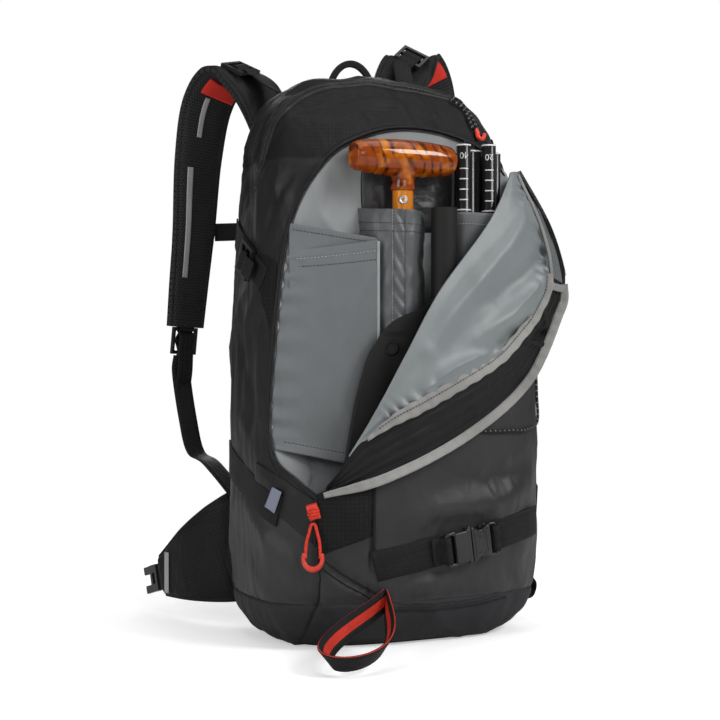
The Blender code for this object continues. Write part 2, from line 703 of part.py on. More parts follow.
def build_blade():
    """The shovel blade: a crowned plate with round shoulders, and the socket that takes the shaft."""
    columns, rows = 10, 7
    bm = bmesh.new()
    grid = {}
    for side, shift in ((FRONT, -0.5), (BACK, 0.5)):
        for i in range(columns + 1):
            s = 2.0 * i / columns - 1.0
            top = BLADE_BOTTOM_Z + (BLADE_SHOULDER_Z - BLADE_BOTTOM_Z) * (1.0 - 0.75 * abs(s) ** 4.2)
            for j in range(rows + 1):
                z = BLADE_BOTTOM_Z + (top - BLADE_BOTTOM_Z) * j / rows
                x = BLADE_X + s * BLADE_HALF_WIDTH
                y = BLADE_Y + BLADE_CROWN * s * s + shift * BLADE_THICKNESS
                grid[side, i, j] = bm.verts.new((x, y, z))
    for i in range(columns):
        for j in range(rows):
            for side in (FRONT, BACK):
                bm.faces.new([grid[side, a, b] for a, b in ((i, j), (i + 1, j), (i + 1, j + 1), (i, j + 1))])
    border = [(i, 0) for i in range(columns)] + [(columns, j) for j in range(rows)]
    border += [(i, rows) for i in range(columns, 0, -1)] + [(0, j) for j in range(rows, 0, -1)]
    for a, b in zip(border, border[1:] + border[:1]):
        bm.faces.new((grid[FRONT, *a], grid[FRONT, *b], grid[BACK, *b], grid[BACK, *a]))
    blade = new_object("shovel_blade", bm, "blade_grey")
    socket_y = BLADE_Y + 0.0065
    reach = 0.05
    socket = turned(
        "blade_socket",
        (BLADE_X, socket_y, BLADE_SHOULDER_Z - reach),
        (0, 0, 1),
        [
            (0.0, 0.35 * SOCKET_RADIUS),
            (reach, 0.9 * SOCKET_RADIUS),
            (SOCKET_TOP_Z - BLADE_SHOULDER_Z + reach, 0.8 * SOCKET_RADIUS),
        ],
        None,
        12,
    )
    boolean(blade, helper(socket), "UNION")
    bore = turned(
        "cut_socket",
        (BLADE_X, socket_y, BLADE_SHOULDER_Z + 0.03),
        (0, 0, 1),
        pin(0.8 * SOCKET_RADIUS - 0.0022, SOCKET_TOP_Z),
        None,
        12,
    )
    return boolean(blade, helper(bore), "DIFFERENCE")


def off_opening(across, out, height):
    """A point in front of the opening's skin: across and up as shares of the bag's half width and height,
    and out of the skin as a share of its half depth. Past the skin's edge it is measured from near it."""
    seat = on_opening(min(across, FLAP_SEAT) * PACK_HALF_WIDTH, height * PACK_HEIGHT)
    inward = seat.dot(INWARD) - out * PACK_HALF_DEPTH
    return Vector((across * PACK_HALF_WIDTH, inward, height * PACK_HEIGHT))


def build_flap():
    """The opened front flap: a lined panel from its fold to its zip edge, and the gusset along that edge."""
    fold = [
        off_opening(-0.37697, 0.02711, 0.26614),
        off_opening(-0.10066, 0.14732, 0.38439),
        off_opening(0.11579, 0.20682, 0.49070),
        off_opening(0.33947, 0.23635, 0.59947),
        off_opening(0.68092, 0.19923, 0.72456),
        off_opening(0.86118, 0.01793, 0.82474),
    ]
    edge = [
        off_opening(-0.41974, 0.02951, 0.25789),
        off_opening(0.02303, 0.09734, 0.28842),
        off_opening(0.53421, 0.13355, 0.35246),
        off_opening(0.95592, -0.23047, 0.43860),
        off_opening(1.17566, -0.41787, 0.55386),
        off_opening(1.21842, -0.40519, 0.60772),
        off_opening(1.11711, -0.32765, 0.71579),
        off_opening(0.88092, -0.07637, 0.83263),
    ]
    steps = 16
    fold_line = resampled(smooth_line(fold, 6), steps)
    edge_line = resampled(smooth_line(edge, 6), steps)
    across = 7
    bulge, split, thick = 0.016, 0.70, 0.0028

    def sheet_point(k, r):
        a, b = fold_line[k], edge_line[k]
        point = a.lerp(b, r)
        swell = bulge * math.sin(math.pi * k / steps) * math.sin(math.pi * min(r, 1.0))
        flat = ACROSS * point.x + INWARD * (point.y - swell)
        return Vector((flat.x, flat.y, point.z))

    rows = [r / across * split for r in range(across + 1)]
    grid = [[sheet_point(k, r) for r in rows] for k in range(steps + 1)]
    panel = sheet("flap_panel", grid, thick, "lining_grey")
    start = split + 0.012
    rows = [start + (1.0 - start) * r / 4 for r in range(5)]
    grid = [[sheet_point(k, r) for r in rows] for k in range(1, steps)]
    gusset = sheet("flap_gusset", grid, thick, "ripstop_black")
    ends = [sheet_point(0, 0.0), sheet_point(steps, 0.0)]
    pivot("flap_fold", sheet_point(steps // 2, 0.0) - INWARD * 0.002, ends[0] - ends[1], [panel, gusset])


def resampled(line, steps):
    """Points at even distances along a line."""
    lengths = [0.0]
    for a, b in zip(line, line[1:]):
        lengths.append(lengths[-1] + (b - a).length)
    made = []
    for k in range(steps + 1):
        want = lengths[-1] * k / steps
        n = max(i for i in range(len(lengths)) if lengths[i] <= want + 1e-12)
        if n == len(line) - 1:
            made.append(line[-1])
        else:
            made.append(line[n].lerp(line[n + 1], (want - lengths[n]) / (lengths[n + 1] - lengths[n])))
    return made


def sheet(name, grid, thickness, material):
    """A closed sheet over a grid of points, thickened towards the bag."""
    bm = bmesh.new()
    rows, columns = len(grid), len(grid[0])
    front = [[bm.verts.new(p) for p in row] for row in grid]
    back = [[bm.verts.new(p + INWARD * thickness) for p in row] for row in grid]
    for layer in (front, back):
        for i in range(rows - 1):
            for j in range(columns - 1):
                bm.faces.new((layer[i][j], layer[i + 1][j], layer[i + 1][j + 1], layer[i][j + 1]))
    border = [(i, 0) for i in range(rows - 1)] + [(rows - 1, j) for j in range(columns - 1)]
    border += [(i, columns - 1) for i in range(rows - 1, 0, -1)] + [(0, j) for j in range(columns - 1, 0, -1)]
    for (a, b), (c, d) in zip(border, border[1:] + border[:1]):
        bm.faces.new((front[a][b], front[c][d], back[c][d], back[a][b]))
    return new_object(name, bm, material)


def build_zips():
    """The compartment's zip along its opening, the slider with its pull, and the main zip over the top."""
    line = smooth_line([(u, z, 0.0) for u, z in ZIP_LINE], 3)
    centre_u, centre_z = 0.13158 * PACK_HALF_WIDTH, 0.57895 * PACK_HEIGHT
    points = []
    for u, z, _ in line[7:-2]:
        away = Vector((u - centre_u, z - centre_z)).normalized() * ZIP_MARGIN
        points.append(off_skin(on_opening(u + away.x, z + away.y), ZIP_RADIUS + 3 * GAP))
    cord("compartment_zip", points, ZIP_RADIUS, "zip_black")

    start = on_opening(ZIP_LINE[0][0] - 0.004, ZIP_LINE[0][1] - 0.010)
    normal = skin_normal(start)
    place = frame_at(start + normal * (0.0034 + 2 * GAP), Vector((0.35, 0.0, -1.0)), normal)
    xs, ys, zs = (-0.007, 0.007), (-0.003, 0.003), (-0.005, 0.005)
    slider = cells("zip_slider", xs, ys, zs, lambda i, j, k: True, "pull_red", place)
    top = start + normal * 0.0052 - UP * 0.0095
    down = (normal * 0.10 - UP).normalized()
    side = normal.cross(down).normalized()
    loop = []
    length, half = 0.046, 0.010
    for k in range(20):
        angle = 2 * math.pi * k / 20
        along = 0.5 * length * (1.0 - math.cos(angle))
        wide = half * math.sin(angle) * (0.25 + 0.75 * along / length)
        loop.append(top + down * along + side * wide)
    pull = cord("zip_pull", loop, 0.0017, "pull_red", closed=True, roundness=2)

    points = []
    arch = 26
    middle = Vector((0.0, MAIN_ZIP_Y, MAIN_ZIP_FOOT_Z))
    for k in range(arch + 1):
        angle = math.pi * (1.0 - k / arch)
        reach = Vector((math.cos(angle), 0.0, math.sin(angle)))
        points.append(off_skin(skin_along(middle + reach * 0.3, middle), ZIP_RADIUS + 4 * GAP))
    cord("main_zip", points, ZIP_RADIUS, "zip_black")
    run = on_opening(*ZIP_LINE[1]) - on_opening(*ZIP_LINE[0])
    run = run - normal * run.dot(normal)
    hold = pivot("zip_slide", start, run, [slider])
    pivot("zip_pull_swing", top, -side, [pull], hold)


def ladder_lock(name, place, width=WEBBING_WIDTH):
    """A ladder-lock buckle: a frame with two slots for webbing."""
    half = 0.5 * width + 0.0008
    outer = half + BUCKLE_WALL
    length = 0.5 * LOCK_LENGTH
    xs = (-length, -length + 0.004, -0.002, 0.002, length - 0.004, length)
    ys = (-0.5 * LOCK_THICKNESS, 0.5 * LOCK_THICKNESS)
    zs = (-outer, -half, half, outer)
    return cells(name, xs, ys, zs, lambda i, j, k: not (k == 1 and i in (1, 3)), "buckle_plastic", place)


STRAP_LINES = {
    LEFT: [
        on_bag(-0.38158, 1.01176, 0.79825),
        on_bag(-0.44079, 1.16667, 0.89825),
        on_bag(-0.53289, 1.43137, 0.98947),
        on_bag(-0.67105, 1.72549, 1.03158),
        on_bag(-0.77632, 1.96078, 0.98246),
        on_bag(-0.82237, 2.07843, 0.87719),
        on_bag(-0.84868, 2.11765, 0.73684),
        on_bag(-0.875, 2.16667, 0.63158),
        on_bag(-0.89474, 2.20588, 0.54737),
    ],
    RIGHT: [
        on_bag(0.38158, 1.01176, 0.79825),
        on_bag(0.46053, 1.17647, 0.91579),
        on_bag(0.60526, 1.42157, 1.02807),
        on_bag(0.80263, 1.62745, 1.0807),
        on_bag(0.98684, 1.76471, 1.03509),
        on_bag(1.06579, 1.86275, 0.92105),
        on_bag(1.03947, 1.98039, 0.75439),
        on_bag(0.97368, 2.09804, 0.63158),
        on_bag(0.92105, 2.20588, 0.54737),
    ],
}


def strap_face(line, k, turn=0.30):
    """Which way a strap's outer face looks at a point, turned a little outwards along its length."""
    count = len(line)
    along = line[min(k + 1, count - 1)] - line[max(k - 1, 0)]
    across = Vector((1.0, -math.copysign(turn, line[0].x) * k / count, 0.0))
    return across.cross(along).normalized()


def build_straps():
    """Both shoulder straps with load lifters, lower webbing, buckles and the sternum strap between them."""
    made = {"harness": [], "locks": []}
    names = {LEFT: "left", RIGHT: "right"}
    lines = {}
    for side, name in names.items():
        line = smooth_line(STRAP_LINES[side], 3)
        faces = [strap_face(line, k) for k in range(len(line))]
        count = len(line) - 1
        widths = []
        for k in range(count + 1):
            t = k / count
            shape = 0.82 + 0.18 * math.sin(math.pi * min(1.0, t * 1.3)) - 0.30 * max(0.0, t - 0.75)
            widths.append(STRAP_WIDTH * shape)
        strap = ribbon(f"shoulder_strap_{name}", line, faces, widths, STRAP_THICKNESS, "spacer_mesh", True)
        made["harness"].append(strap)
        lines[side] = (line, faces, widths)

        crest = 8
        face = faces[crest].normalized()
        lift = 0.5 * STRAP_THICKNESS + 0.5 * LOCK_THICKNESS + 2 * GAP + (0.0008 if side == LEFT else 0.0058)
        place = frame_at(line[crest] + face * lift, line[crest + 1] - line[crest - 1], face)
        lock = ladder_lock(f"lifter_buckle_{name}", place)
        hinge = place @ Vector((0.5 * LOCK_LENGTH, 0, 0))
        made["locks"].append((f"lifter_tilt_{name}", hinge, place, lock))

        anchor_x, _, anchor_z = on_bag(side * 0.43421, 0.0, 0.93333)
        anchor = Vector((anchor_x, skin_y(anchor_x, anchor_z, BACK), anchor_z))
        out = skin_normal(anchor)
        anchor = anchor + out * (0.5 * WEBBING_THICKNESS + 2 * GAP)
        towards = (line[crest - 1] - line[crest + 1]).normalized()
        start = line[crest] + face * (lift + 0.001) + towards * (0.5 * LOCK_LENGTH + 9 * GAP)
        bow = 0.5 * (start + anchor) + Vector((0.0, 0.0, 0.008))
        rise = anchor + out * 0.005 + UP * 0.010
        path = smooth_line([start, start + towards * 0.010, bow, rise, anchor], 4)
        outward = [face.lerp(out, k / (len(path) - 1)) for k in range(len(path))]
        ribbon(f"load_lifter_{name}", path, outward, 0.020, WEBBING_THICKNESS, "webbing_black")

        tip = line[-1]
        down = (line[-1] - line[-2]).normalized()
        gap = 0.5 * LOCK_LENGTH + 2 * GAP
        place = frame_at(tip + down * gap, down, faces[-1])
        lock = ladder_lock(f"adjuster_buckle_{name}", place)
        hinge = place @ Vector((-0.5 * LOCK_LENGTH, 0, 0))
        made["locks"].append((f"adjuster_tilt_{name}", hinge, place, lock))
        start = tip + down * (LOCK_LENGTH + 8 * GAP)
        end_x, _, end_z = on_bag(side * 0.77632, 0.0, 0.19649)
        end = Vector((end_x, skin_y(end_x, end_z, BACK, 0.0024), end_z))
        points = [
            start,
            start + down * 0.020,
            on_bag(side * 0.91447, 2.03922, 0.36842),
            on_bag(side * 0.91447, 1.78431, 0.30702),
            on_bag(side * 0.88158, 1.42157, 0.28772),
            end + Vector((0.0, 0.012, 0.016)),
            end,
        ]
        path = smooth_line(points, 4)
        outward = [strap_face(path, k) for k in range(len(path))]
        ribbon(f"strap_webbing_{name}", path, outward, 0.022, WEBBING_THICKNESS, "webbing_black")
    plug, axis = build_sternum(made, lines)
    root = Vector((0.0, STRAP_LINES[LEFT][0][1], STRAP_LINES[LEFT][0][2]))
    harness = pivot("harness_swing", root, (1, 0, 0), made["harness"])
    pivot("sternum_release", plug[1], axis, [plug[0]], harness)
    for name, place, matrix, lock in made["locks"]:
        pivot(name, place, matrix.col[2].to_3d(), [lock], harness)


def build_sternum(made, lines):
    """The sternum strap: a half from each shoulder strap, meeting in a side-release buckle."""
    height = 0.73684 * PACK_HEIGHT
    ends = {}
    for side in (LEFT, RIGHT):
        line, faces, widths = lines[side]
        k = min(range(len(line) // 2, len(line)), key=lambda n: abs(line[n].z - height))
        inward = (line[k + 1] - line[k - 1]).cross(faces[k]).normalized() * -side
        ends[side] = line[k] + inward * (0.5 * widths[k] + 5 * GAP)
    middle = 0.5 * (ends[LEFT] + ends[RIGHT])
    axis = (ends[RIGHT] - ends[LEFT]).normalized()
    outward = Vector((0.0, 1.0, 0.0))
    place = frame_at(middle, axis, outward)
    half, deep, cavity = 0.5 * WEBBING_WIDTH, 0.0045, 0.0030
    ys = (-deep, -cavity, cavity, deep)
    zs = (-half - 0.002, -half + 0.001, half - 0.001, half + 0.002)
    socket = cells(
        "sternum_socket",
        (-0.026, -0.022, -0.017, -0.013, 0.004),
        ys,
        zs,
        lambda i, j, k: not (j == 1 and k == 1 and i == 3) and not (k == 1 and i == 1),
        "buckle_plastic",
        place,
    )
    xs = (-0.011, 0.0045, 0.010, 0.015, 0.020)
    plug = cells(
        "sternum_plug",
        xs,
        (-deep, -cavity + 0.0006, cavity - 0.0006, deep),
        (-half - 0.002, -half + 0.0016, half - 0.0016, half + 0.002),
        lambda i, j, k: (i == 0 and j == 1 and k == 1) or i in (1, 3) or (i == 2 and k != 1),
        "buckle_plastic",
        place,
    )
    for side, name, stop in ((LEFT, "left", -0.0263), (RIGHT, "right", 0.0203)):
        inner = place @ Vector((stop, 0.0, 0.0))
        outer = ends[side]
        path = [outer.lerp(inner, t / 4) for t in range(5)]
        strap = ribbon(
            f"sternum_strap_{name}", path, [outward] * 5, 0.020, WEBBING_THICKNESS, "webbing_black"
        )
        made["harness"].append(strap)
    made["harness"].append(socket)
    return (plug, middle), axis


# The hip wing's line as shares of the half width and half depth, and its heights as shares of the height
WING_LINE = [(0.73684, 1.0), (0.90789, 1.15686), (1.03947, 1.47059), (1.11842, 1.91176)]
WING_HEIGHTS = (0.14035, 0.07018)


def seated(line, face, half):
    """The line, moved back until a strap of that half width is clear of the bag at its root."""
    place = frame_at(line[0], line[1] - line[0], face)
    short = 0.0
    for across in (-1.0, -0.86, -0.45, 0.0, 0.45, 0.86, 1.0):
        thin = 0.5 * WING_THICKNESS * (1.0 - 0.28 * (abs(across) > 0.5) - 0.72 * (abs(across) == 1.0))
        for y in (thin, -thin):
            point = place @ Vector((0.0, y, across * half))
            short = max(short, skin_y(point.x, point.z, BACK) + 3 * GAP - point.y)
    return [point + Vector((0.0, short, 0.0)) for point in line]


def build_hip_belt():
    """Two padded wings at the foot of the back, each with its half of the waist buckle."""
    for side, name in ((LEFT, "left"), (RIGHT, "right")):
        flat = smooth_line([on_bag(x, y, 0.0) for x, y in WING_LINE], 4)
        count = len(flat) - 1
        line, faces, widths = [], [], []
        for k, point in enumerate(flat):
            t = k / count
            height = WING_HEIGHTS[0] + (WING_HEIGHTS[1] - WING_HEIGHTS[0]) * t
            line.append(Vector((side * point.x, point.y, height * PACK_HEIGHT)))
            along = flat[min(k + 1, count)] - flat[max(k - 1, 0)]
            faces.append(Vector((side * along.y, -along.x, 0.0)))
            widths.append(WING_ROOT_WIDTH + (WING_TIP_WIDTH - WING_ROOT_WIDTH) * t**1.15)
        line = seated(line, faces[0], 0.5 * widths[0])
        wing = ribbon(f"hip_wing_{name}", line, faces, widths, WING_THICKNESS, "ripstop_black", True)
        tip, along = line[-1], (line[-1] - line[-2]).normalized()
        place = frame_at(tip + along * (2 * GAP), along, faces[-1])
        half, deep = 0.5 * WEBBING_WIDTH, 0.004
        if side == LEFT:
            clip = cells(
                "hip_plug",
                (0.0, 0.010, 0.014, 0.019, 0.023, 0.038),
                (-deep, -0.0018, 0.0018, deep),
                (-half - 0.002, -0.006, 0.006, half + 0.002),
                lambda i, j, k: i in (1, 3) or (i == 0 and j == 1) or (k != 1 and (i == 2 or j == 1)),
                "buckle_plastic",
                place,
            )
        else:
            clip = cells(
                "hip_socket",
                (0.0, 0.010, 0.014, 0.019, 0.023, 0.042),
                (-deep, -0.0026, 0.0026, deep),
                (-half - 0.002, -half + 0.001, half - 0.001, half + 0.002),
                lambda i, j, k: i % 2 or (i == 0 and j == 1) or (i == 4 and j != 1) or (i > 1 and k != 1),
                "buckle_plastic",
                place,
            )
        pivot(f"hip_fold_{name}", line[0], (0, 0, -side), [wing, clip])


def build_grab_handle():
    """The haul loop of webbing at the top of the back panel."""
    half, rise, z = 0.17763 * PACK_HALF_WIDTH, 0.07018 * PACK_HEIGHT, 0.96842 * PACK_HEIGHT
    y = skin_y(half, z, BACK, 0.0032)
    line, faces, widths = [], [], []
    steps = 14
    for k in range(steps + 1):
        angle = math.pi * k / steps
        line.append(Vector((-half * math.cos(angle), y, z + rise * math.sin(angle) ** 0.8)))
        faces.append(Vector((-math.cos(angle), 0.0, math.sin(angle) + 0.2)))
        widths.append(0.005 + 0.013 * math.sin(angle) ** 0.5)
    handle = ribbon("grab_handle", line, faces, widths, 0.003, "webbing_black")
    pivot("handle_swing", (0.0, y, z), (1, 0, 0), [handle])


# The carry strap's two ends on the front, and its buckle
FRONT_STRAP_LEFT = on_bag(-0.41447, 0.0, 0.14035)
FRONT_STRAP_RIGHT = on_bag(0.77632, 0.0, 0.19649)
BUCKLE_X = 0.26316 * PACK_HALF_WIDTH


def front_strap_point(x, out):
    share = (x - FRONT_STRAP_LEFT.x) / (FRONT_STRAP_RIGHT.x - FRONT_STRAP_LEFT.x)
    z = FRONT_STRAP_LEFT.lerp(FRONT_STRAP_RIGHT, share).z
    return off_skin(Vector((x, skin_y(x, z, FRONT), z)), out)


def build_front_strap():
    """The carry strap over the front, with a side-release buckle whose two arms squeeze in."""
    lift = 0.5 * WEBBING_THICKNESS + 2 * GAP
    left, right = (FRONT_STRAP_LEFT.x, BUCKLE_X - 0.0300), (BUCKLE_X + 0.0245, FRONT_STRAP_RIGHT.x)
    for name, (x0, x1) in (("left", left), ("right", right)):
        path = [front_strap_point(x0 + (x1 - x0) * k / 8, lift) for k in range(9)]
        outward = [skin_normal(p) for p in path]
        ribbon(f"front_strap_{name}", path, outward, 0.030, WEBBING_THICKNESS, "webbing_black")
    deep = 0.0045
    centre = front_strap_point(BUCKLE_X, deep + WEBBING_THICKNESS + GAP)
    along = front_strap_point(BUCKLE_X + 0.01, 0.0) - front_strap_point(BUCKLE_X - 0.01, 0.0)
    place = frame_at(centre, along, skin_normal(centre))
    half = 0.0140
    cavity = 0.0030
    cells(
        "front_socket",
        (-0.004, 0.006, 0.0155, 0.0180, 0.0230, 0.0270),
        (-deep, -cavity, cavity, deep),
        (-half - 0.003, -half, half, half + 0.003),
        lambda i, j, k: not (j == 1 and (i == 0 and k == 1 or i == 1)) and not (i == 3 and k == 1),
        "buckle_plastic",
        place,
    )
    cells(
        "front_plug",
        (-0.0325, -0.0285, -0.0230, -0.0190, -0.0145, -0.0045, 0.0120),
        (-deep, -cavity + 0.0008, cavity - 0.0008, deep),
        (-half - 0.003, -half, -0.0030, 0.0030, half, half + 0.003),
        lambda i, j, k: i in (0, 2, 3, 4) or (i == 1 and k in (0, 4)) or (i == 5 and j == 1 and k == 2),
        "buckle_plastic",
        place,
    )
    for side, name in ((-1, "upper"), (1, "lower")):
        zs = sorted((side * 0.0075, side * 0.0105, side * 0.0132, side * 0.0160))
        inner = (0, 1) if side > 0 else (1, 2)
        arm = cells(
            f"front_arm_{name}",
            (-0.0042, 0.0075, 0.0140),
            (-cavity + 0.0008, cavity - 0.0008),
            zs,
            lambda i, j, k, inner=inner: (i == 0 and k == (0 if inner == (0, 1) else 2)) or i == 1,
            "buckle_plastic",
            place,
        )
        hinge = place @ Vector((-0.0042, 0.0, side * 0.0090))
        pivot(f"arm_squeeze_{name}", hinge, place.col[1].to_3d() * side, [arm])


def side_strap(name, side, ends, width, material="webbing_black"):
    """A strap on the bag's side, between two places given as shares of its half depth and height."""
    lift = 0.5 * WEBBING_THICKNESS + 2 * GAP
    (_, y0, z0), (_, y1, z1) = (on_bag(0.0, y, z) for y, z in ends)
    path = []
    steps = 18
    for k in range(steps + 1):
        t = k / steps
        y, z = y0 + (y1 - y0) * t, z0 + (z1 - z0) * t
        path.append(off_skin(Vector((skin_x(y, z, side), y, z)), lift))
    return ribbon(name, path, [skin_normal(p) for p in path], width, WEBBING_THICKNESS, material)


def build_side_straps():
    """Upper and lower compression straps on each side, with a ladder lock on the upper ones."""
    for side, name in ((LEFT, "left"), (RIGHT, "right")):
        side_strap(f"upper_strap_{name}", side, ((0.62745, 0.71579), (-0.29412, 0.61754)), WEBBING_WIDTH)
        side_strap(f"lower_strap_{name}", side, ((0.62745, 0.31579), (-0.60784, 0.23158)), 0.030)
        _, y, z = on_bag(0.0, 0.07843, 0.65526)
        lift = WEBBING_THICKNESS + 0.5 * LOCK_THICKNESS + 5 * GAP
        centre = off_skin(Vector((skin_x(y, z, side), y, z)), lift)
        place = frame_at(centre, Vector((0.0, -0.116, -0.066)), skin_normal(centre))
        lock = ladder_lock(f"upper_buckle_{name}", place)
        pivot(f"upper_tilt_{name}", place @ Vector((-0.5 * LOCK_LENGTH, 0, 0)), place.col[2].to_3d(), [lock])


def build_loops():
    """The ski loop at the front's foot, the tool loop at the right and the elastic cord above it."""
    foot_x, _, foot_z = on_bag(-0.32895, 0.0, 0.09123)
    foot = Vector((foot_x, skin_y(foot_x, foot_z, FRONT, 0.0045), foot_z))
    reach = Vector((-0.086, -0.086, 0.0))
    side = Vector((ACROSS.x, ACROSS.y, 0.0))
    line, faces, widths = [], [], []
    steps = 22
    for k in range(steps + 1):
        angle = 2 * math.pi * (k + 0.35) / (steps + 0.7)
        share = 0.5 * (1.0 - math.cos(angle))
        wide = 0.036 * math.sin(angle) * share**0.75
        z = foot_z + (0.0115 - foot_z) * share**0.8
        point = foot + reach * share + side * wide
        line.append(Vector((point.x, point.y, z)))
    for k in range(steps + 1):
        along = line[min(k + 1, steps)] - line[max(k - 1, 0)]
        faces.append(along.cross(UP))
        widths.append(0.020)
    ski = ribbon("ski_loop", line, faces, widths, 0.0022, "webbing_black")

    _, y, z = on_bag(0.0, -0.03922, 0.09123)
    root = Vector((skin_x(y, z, RIGHT, 0.0010), y, z))
    shape = [(0.0, 0.0), (12.0, -3.0), (24.0, -14.0), (21.0, -27.0), (12.0, -29.0), (7.8, -18.0), (3.0, -6.0)]
    path = smooth_line([root + 0.04 * WEBBING_WIDTH * Vector((x, 0.0, z)) for x, z in shape], 3)
    faces = []
    for k in range(len(path)):
        along = path[min(k + 1, len(path) - 1)] - path[max(k - 1, 0)]
        faces.append(along.cross(Vector((0.0, 1.0, 0.0))))
    tool = ribbon("tool_loop", path, faces, 0.022, WEBBING_THICKNESS, "webbing_black")

    radius = 0.0015
    points = []
    for y, z in ((-0.58824, 0.52632), (-0.62745, 0.47368), (-0.66667, 0.42105), (-0.70588, 0.37193)):
        _, y, z = on_bag(0.0, y, z)
        points.append(Vector((skin_x(y, z, RIGHT, radius + 4 * GAP), y, z)))
    for share in (0.73684, 0.625, 0.51316, 0.39474, 0.27632):
        x, _, z = on_bag(share, 0.0, 0.35965)
        points.append(Vector((x, skin_y(x, z, FRONT, radius + 4 * GAP), z)))
    cord("side_cord", smooth_line(points, 3), radius, "webbing_black", roundness=2)
    pivot("ski_loop_swing", foot, -side, [ski])
    pivot("tool_loop_swing", root, (0, -1, 0), [tool])


def main():
    clear_scene()
    inner = helper(shell_solid("cut_inside", WALL))
    inner_clear = helper(shell_solid("cut_inside_clear", WALL + GAP))
    outer_clear = helper(shell_solid("cut_outside_clear", -GAP))
    opening = opening_prism()
    build_shell(inner, opening)
    build_back(outer_clear)
    build_sleeves(inner_clear)
    build_tools()
    build_flap()
    build_zips()
    build_straps()
    build_hip_belt()
    build_grab_handle()
    build_front_strap()
    build_side_straps()
    build_loops()


main()
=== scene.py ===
"""Looks of the ski backpack: its cloth, webbing, buckles and stowed tools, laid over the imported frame.

Metres, +Z up. The bag stands on its base at the origin, its front faces -Y and its back panel faces +Y.
"""

import math

import bpy
import numpy as np
from mathutils import Matrix, Vector, noise
from mathutils.bvhtree import BVHTree


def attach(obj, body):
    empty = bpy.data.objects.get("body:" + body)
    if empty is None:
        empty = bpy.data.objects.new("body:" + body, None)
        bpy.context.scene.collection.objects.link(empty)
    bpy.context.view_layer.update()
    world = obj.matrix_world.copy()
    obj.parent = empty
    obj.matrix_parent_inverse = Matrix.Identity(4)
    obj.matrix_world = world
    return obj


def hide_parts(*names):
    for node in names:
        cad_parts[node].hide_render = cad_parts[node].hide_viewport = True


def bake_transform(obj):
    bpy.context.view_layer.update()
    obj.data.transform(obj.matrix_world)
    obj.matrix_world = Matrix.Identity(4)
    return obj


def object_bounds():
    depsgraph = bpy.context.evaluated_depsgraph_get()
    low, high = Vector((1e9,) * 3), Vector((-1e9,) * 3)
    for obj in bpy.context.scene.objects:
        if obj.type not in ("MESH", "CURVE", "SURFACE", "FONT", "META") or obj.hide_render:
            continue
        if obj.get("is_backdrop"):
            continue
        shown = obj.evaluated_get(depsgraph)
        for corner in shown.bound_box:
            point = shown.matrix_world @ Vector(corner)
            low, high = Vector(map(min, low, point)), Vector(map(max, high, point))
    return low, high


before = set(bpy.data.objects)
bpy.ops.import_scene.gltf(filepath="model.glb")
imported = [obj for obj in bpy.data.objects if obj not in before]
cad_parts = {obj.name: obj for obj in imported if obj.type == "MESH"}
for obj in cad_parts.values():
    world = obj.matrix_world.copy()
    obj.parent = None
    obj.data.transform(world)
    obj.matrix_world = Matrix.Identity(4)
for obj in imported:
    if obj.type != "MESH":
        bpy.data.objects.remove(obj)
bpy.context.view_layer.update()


# The studio: a pale floor under a white surround, lit by large soft boxes from above and both sides.
# The floor fades to plain white away from the bag and keeps the bag's shadow.
class Wire:
    """A socket of a material's nodes. Sums of wires add Math nodes, and node() makes any other one."""

    def __init__(self, tree, socket=None):
        self.tree, self.socket = tree, socket

    def node(self, kind, inputs=(), out=0, **settings):
        made = self.tree.nodes.new("ShaderNode" + kind)
        for key, value in settings.items():
            if key == "stops":
                stops = made.color_ramp.elements
                stops.remove(stops[-1])
                for k, (place, colour) in enumerate(value):
                    stop = stops[0] if k == 0 else stops.new(place)
                    stop.position, stop.color = place, (*colour, 1.0)
            else:
                setattr(made, key, value)
        for key, value in dict(inputs).items():
            if isinstance(value, Wire):
                self.tree.links.new(value.socket, made.inputs[key])
            else:
                made.inputs[key].default_value = value
        return Wire(self.tree, made.outputs[out] if len(made.outputs) else None)

    def sum(self, operation, first, second=0.0):
        return self.node("Math", {0: first, 1: second}, operation=operation)

    def __add__(self, other):
        return self.sum("ADD", self, other)

    def __radd__(self, other):
        return self.sum("ADD", other, self)

    def __sub__(self, other):
        return self.sum("SUBTRACT", self, other)

    def __rsub__(self, other):
        return self.sum("SUBTRACT", other, self)

    def __mul__(self, other):
        return self.sum("MULTIPLY", self, other)

    def __rmul__(self, other):
        return self.sum("MULTIPLY", other, self)

    def __truediv__(self, other):
        return self.sum("DIVIDE", self, other)

    def most(self, other):
        return self.sum("MAXIMUM", self, other)

    def sin(self):
        return self.sum("SINE", self)

    def fraction(self):
        return self.sum("FRACT", self)

    def size(self):
        return self.sum("ABSOLUTE", self)

    def part(self, number):
        """x, y or z of a vector."""
        return self.node("SeparateXYZ", {0: self}, number)

    def spread(self, low, high, to_low=0.0, to_high=1.0):
        """The value eased from one range to another, and held at its ends."""
        ends = {"Value": self, "From Min": low, "From Max": high, "To Min": to_low, "To Max": to_high}
        return self.node("MapRange", ends, interpolation_type="SMOOTHSTEP")

    def blend(self, first, second):
        """From the first colour to the second, by this value."""
        return self.node("Mix", {0: self, 6: first, 7: second}, 2, data_type="RGBA", clamp_factor=True)

    def seen(self):
        """One where the camera looks, straight or through clear plastic, and nought for plain light."""
        return self.node("LightPath").most(self.node("LightPath", out=6))


def tint(colour, share=1.0):
    return (*(c * share for c in colour), 1.0)


def soft_box(name, place, aim, size, watts):
    bpy.ops.object.light_add(type="AREA", location=place)
    lamp = bpy.context.object
    lamp.name = name
    lamp.rotation_euler = (Vector(aim) - Vector(place)).to_track_quat("-Z", "Y").to_euler()
    lamp.data.shape = "RECTANGLE"
    lamp.data.size, lamp.data.size_y = size
    lamp.data.energy = watts


